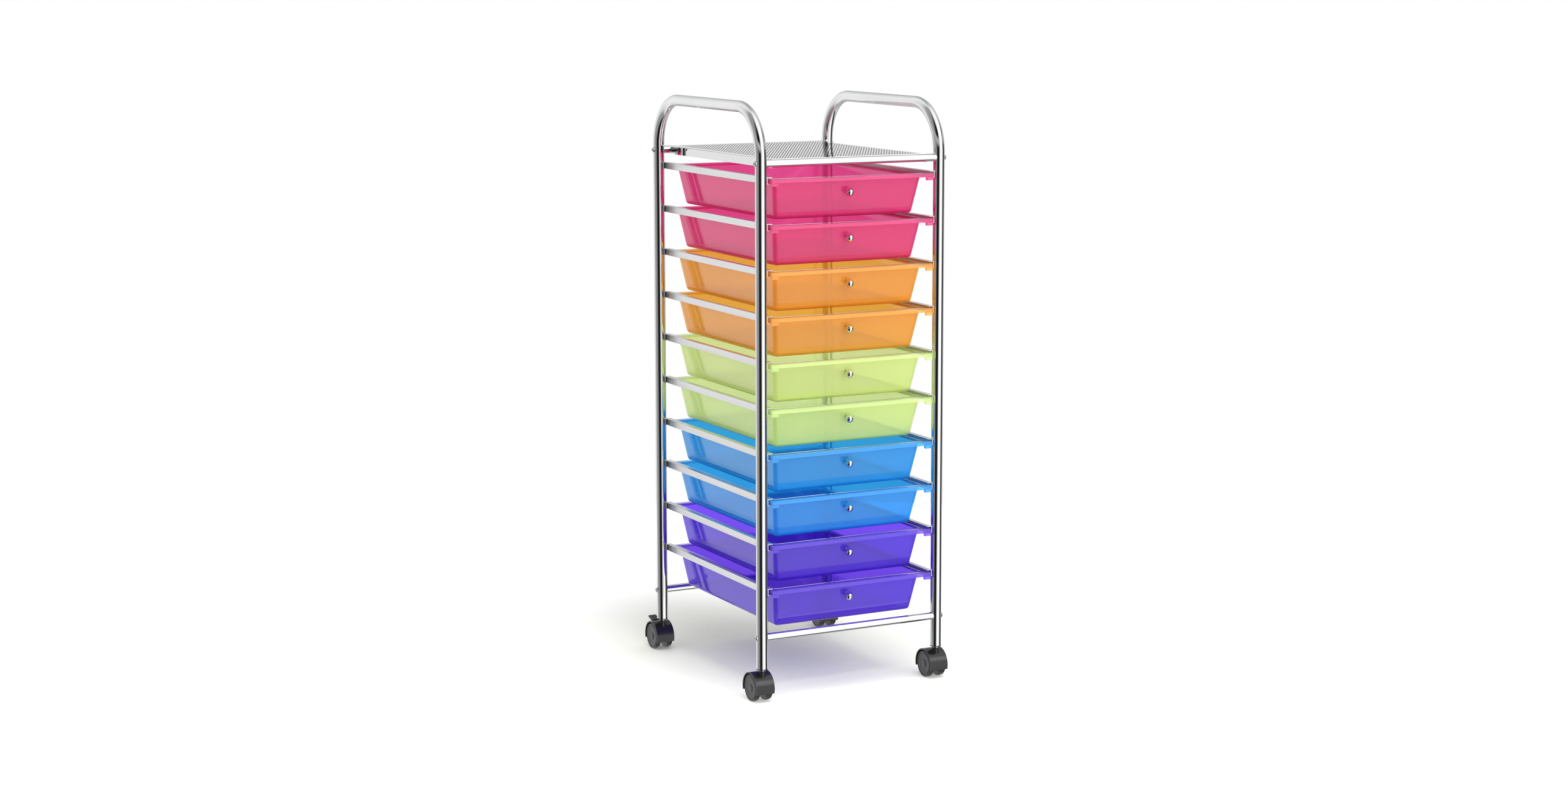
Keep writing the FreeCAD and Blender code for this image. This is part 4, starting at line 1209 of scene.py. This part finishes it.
# Bright strip beyond the cart and dim band all round: sines of elevation where each starts, is full, fades
# and ends, cosines to the camera's side where the strip starts and is full, and levels.
STRIP_BAND, STRIP_BEHIND, STRIP_LEVEL = (-0.06, 0.02, 0.2, 0.28), (-0.8, -0.95), 0.8
DUSK_BAND, DUSK_LEVEL = (0.05, 0.25, 0.3, 0.45), 0.4


class CART_OT_stage(bpy.types.Operator):
    """Sets the floor, the light and the camera"""

    bl_idname = "cart.stage"
    bl_label = "Stage"

    def execute(self, context):
        stage = context.scene.cart_stage
        make_floor()
        make_world(stage)
        for name, place, size in LAMPS:
            make_lamp(name, place, size, getattr(stage, f"{name}_power"))
        make_camera(stage)
        SCENE.view_settings.view_transform = "Standard"
        return {"FINISHED"}


def make_floor():
    """Pale floor that keeps the cart's shadow in an oval round it, with a painted glow that rises to white
    beyond it and a painted warm cast under the cart.
    """
    bm = bmesh.new()
    bm.faces.new([bm.verts.new(point) for point in circle(FLOOR_RADIUS, FLOOR_AROUND, Matrix())])
    floor = held("floor", to_mesh(bm, "floor"))
    finish = Finish("pale floor")
    tree, place = finish.tree, finish.place.outputs["Object"]
    cloud = finish.noise(scale=3, detail=2)

    def reach(vector, near, far):
        apart = {"Value": vector_length(tree, vector)}
        return finish.node("ShaderNodeMapRange", apart, From_Min=near, From_Max=far).outputs["Result"]

    under, around, bounced = (finish.blend(cloud, *tints) for tints in FLOOR_TINTS)
    bounce = finish.node("ShaderNodeBsdfDiffuse", {"Color": bounced})
    # Painted warm cast under the cart, turning to the plain tint further out.
    shade = finish.blend(reach(place, *WARM_CAST_TURNS), under, around)
    pale = finish.node("ShaderNodeBsdfDiffuse", {"Color": shade})
    glow_oval = finish.node("ShaderNodeMapping", {"Vector": place}, **PAINTED_GLOW_OVAL)
    glow_oval.vector_type = "TEXTURE"
    # Painted glow: emission that rises from nothing near the cart to white far from it.
    painted_glow = finish.node("ShaderNodeEmission", {"Strength": reach(glow_oval, *PAINTED_GLOW_FADES)})
    seen = finish.node("ShaderNodeAddShader", {0: pale, 1: painted_glow})
    # The camera sees the floor's darker tint plus the painted glow; light thrown back sees the plain bounce
    # tint.
    paint(floor.data, finish.show(finish.mix(seen_directly(tree), bounce, seen)))
    floor.visible_glossy = False


def seen_directly(tree):
    """1 for what the camera sees, also through clear plastic, else 0."""
    path = tree.nodes.new("ShaderNodeLightPath")
    return math_node(tree, "MAXIMUM", path.outputs["Is Camera Ray"], path.outputs["Is Transmission Ray"])


def make_world(stage):
    """White surround, even light, and dark and bright studio panels for polished metal."""
    world = bpy.data.worlds.new("studio")
    world.use_nodes = True
    SCENE.world = world
    tree = world.node_tree
    tree.nodes.clear()
    level = studio_level(tree, stage)
    polished = add_node(tree, "ShaderNodeBackground", {"Color": level}, Strength=stage.polish)
    even = add_node(tree, "ShaderNodeBackground", Color=WHITE, Strength=stage.ambient)
    white = add_node(tree, "ShaderNodeBackground", Color=WHITE)
    glossy = tree.nodes.new("ShaderNodeLightPath").outputs["Is Glossy Ray"]
    lit = add_node(tree, "ShaderNodeMixShader", {0: glossy, 1: even, 2: polished})
    whole = add_node(tree, "ShaderNodeMixShader", {0: seen_directly(tree), 1: lit, 2: white})
    add_node(tree, "ShaderNodeOutputWorld", {"Surface": whole})


def studio_level(tree, stage):
    """Brightness of the studio in each direction."""
    place = tree.nodes.new("ShaderNodeTexCoord").outputs["Generated"]

    def along(direction):
        node = add_node(tree, "ShaderNodeVectorMath", {0: place})
        node.operation = "DOT_PRODUCT"
        node.inputs[1].default_value = direction
        return node.outputs["Value"]

    def rise(value, low, high):
        node = add_node(tree, "ShaderNodeMapRange", {"Value": value}, From_Min=low, From_Max=high)
        node.interpolation_type = "SMOOTHSTEP"
        return node.outputs["Result"]

    def band(value, start, full, fade, end):
        return math_node(tree, "MULTIPLY", rise(value, start, full), rise(value, end, fade))

    def toward(level, target, part):
        node = add_node(tree, "ShaderNodeMix", {0: part, 2: level})
        node.inputs[3].default_value = target
        return node.outputs[0]

    right = along((math.cos(stage.yaw), -math.sin(stage.yaw), 0))
    back = along((-math.sin(stage.yaw), -math.cos(stage.yaw), 0))
    turn = math_node(tree, "MULTIPLY", math_node(tree, "ARCTAN2", right, back), 1 / (2 * math.pi))
    ramp = add_node(tree, "ShaderNodeValToRGB", {"Fac": math_node(tree, "ADD", turn, 0.5)})
    elements = ramp.color_ramp.elements
    for index, (degrees, level) in enumerate(STUDIO_LEVELS):
        stop = elements[index] if index < 2 else elements.new(1)
        stop.position = degrees / 360 + 0.5
        stop.color = (level, level, level, 1)
    up = along((0, 0, 1))
    strip = math_node(tree, "MULTIPLY", band(up, *STRIP_BAND), rise(back, *STRIP_BEHIND))
    dusk = math_node(tree, "MULTIPLY", band(up, *DUSK_BAND), DUSK_LEVEL)
    level = toward(math_node(tree, "MAXIMUM", ramp.outputs["Color"], dusk), STRIP_LEVEL, strip)
    for direction, edge, full, target in PANELS:
        level = toward(level, target, rise(along(direction), edge, full))
    return level


def make_lamp(name, place, size, watts):
    """Large square soft lamp, out of sight in polished metal."""
    lamp = bpy.data.lights.new(name, "AREA")
    lamp.shape = "SQUARE"
    lamp.size = size
    lamp.energy = watts
    holder = held(name, lamp)
    holder.location = place
    holder.rotation_euler = (Vector(AIM) - Vector(place)).to_track_quat("-Z", "Y").to_euler()
    holder.visible_glossy = False


def make_camera(stage):
    """Camera at the photograph's place and angle."""
    camera = bpy.data.cameras.new("view")
    camera.sensor_width = 36
    camera.lens = stage.lens
    camera.shift_x, camera.shift_y = stage.shift
    holder = held("view", camera)
    turn = Matrix.Rotation(-stage.yaw, 4, "Z") @ Matrix.Rotation(math.pi / 2 - stage.pitch, 4, "X")
    holder.matrix_world = Matrix.Translation(stage.eye) @ turn
    SCENE.camera = holder


OPERATORS = (
    CART_OT_side_tubes,
    CART_OT_cross_tubes,
    CART_OT_rails,
    CART_OT_shelf,
    CART_OT_frame_screws,
    CART_OT_drawers,
    CART_OT_knobs,
    CART_OT_casters,
    CART_OT_stage,
)
SETTINGS = (
    ("cart_tubes", CartTubeSettings),
    ("cart_screws", CartScrewSettings),
    ("cart_shelf", CartShelfSettings),
    ("cart_drawers", CartDrawerSettings),
    ("cart_knobs", CartKnobSettings),
    ("cart_casters", CartCasterSettings),
    ("cart_stage", CartStageSettings),
)


class CART_PT_panel(bpy.types.Panel):
    """Lists the pieces of the cart and their settings"""

    bl_idname = "CART_PT_panel"
    bl_label = "Drawer Cart"
    bl_space_type = "VIEW_3D"
    bl_region_type = "UI"
    bl_category = "Drawer Cart"

    def draw(self, context):
        for operator in OPERATORS:
            self.layout.operator(operator.bl_idname)
        for name, group in SETTINGS:
            box = self.layout.box()
            settings = getattr(context.scene, name)
            for key in group.__annotations__:
                box.prop(settings, key)


def register():
    for name, group in SETTINGS:
        bpy.utils.register_class(group)
        setattr(bpy.types.Scene, name, PointerProperty(type=group))
    for item in (*OPERATORS, CART_PT_panel):
        bpy.utils.register_class(item)


def unregister():
    for item in reversed((*OPERATORS, CART_PT_panel)):
        bpy.utils.unregister_class(item)
    for name, group in reversed(SETTINGS):
        delattr(bpy.types.Scene, name)
        bpy.utils.unregister_class(group)


def main():
    """Builds every piece."""
    register()
    for operator in OPERATORS:
        space, name = operator.bl_idname.split(".")
        getattr(getattr(bpy.ops, space), name)()


if __name__ == "__main__":
    main()
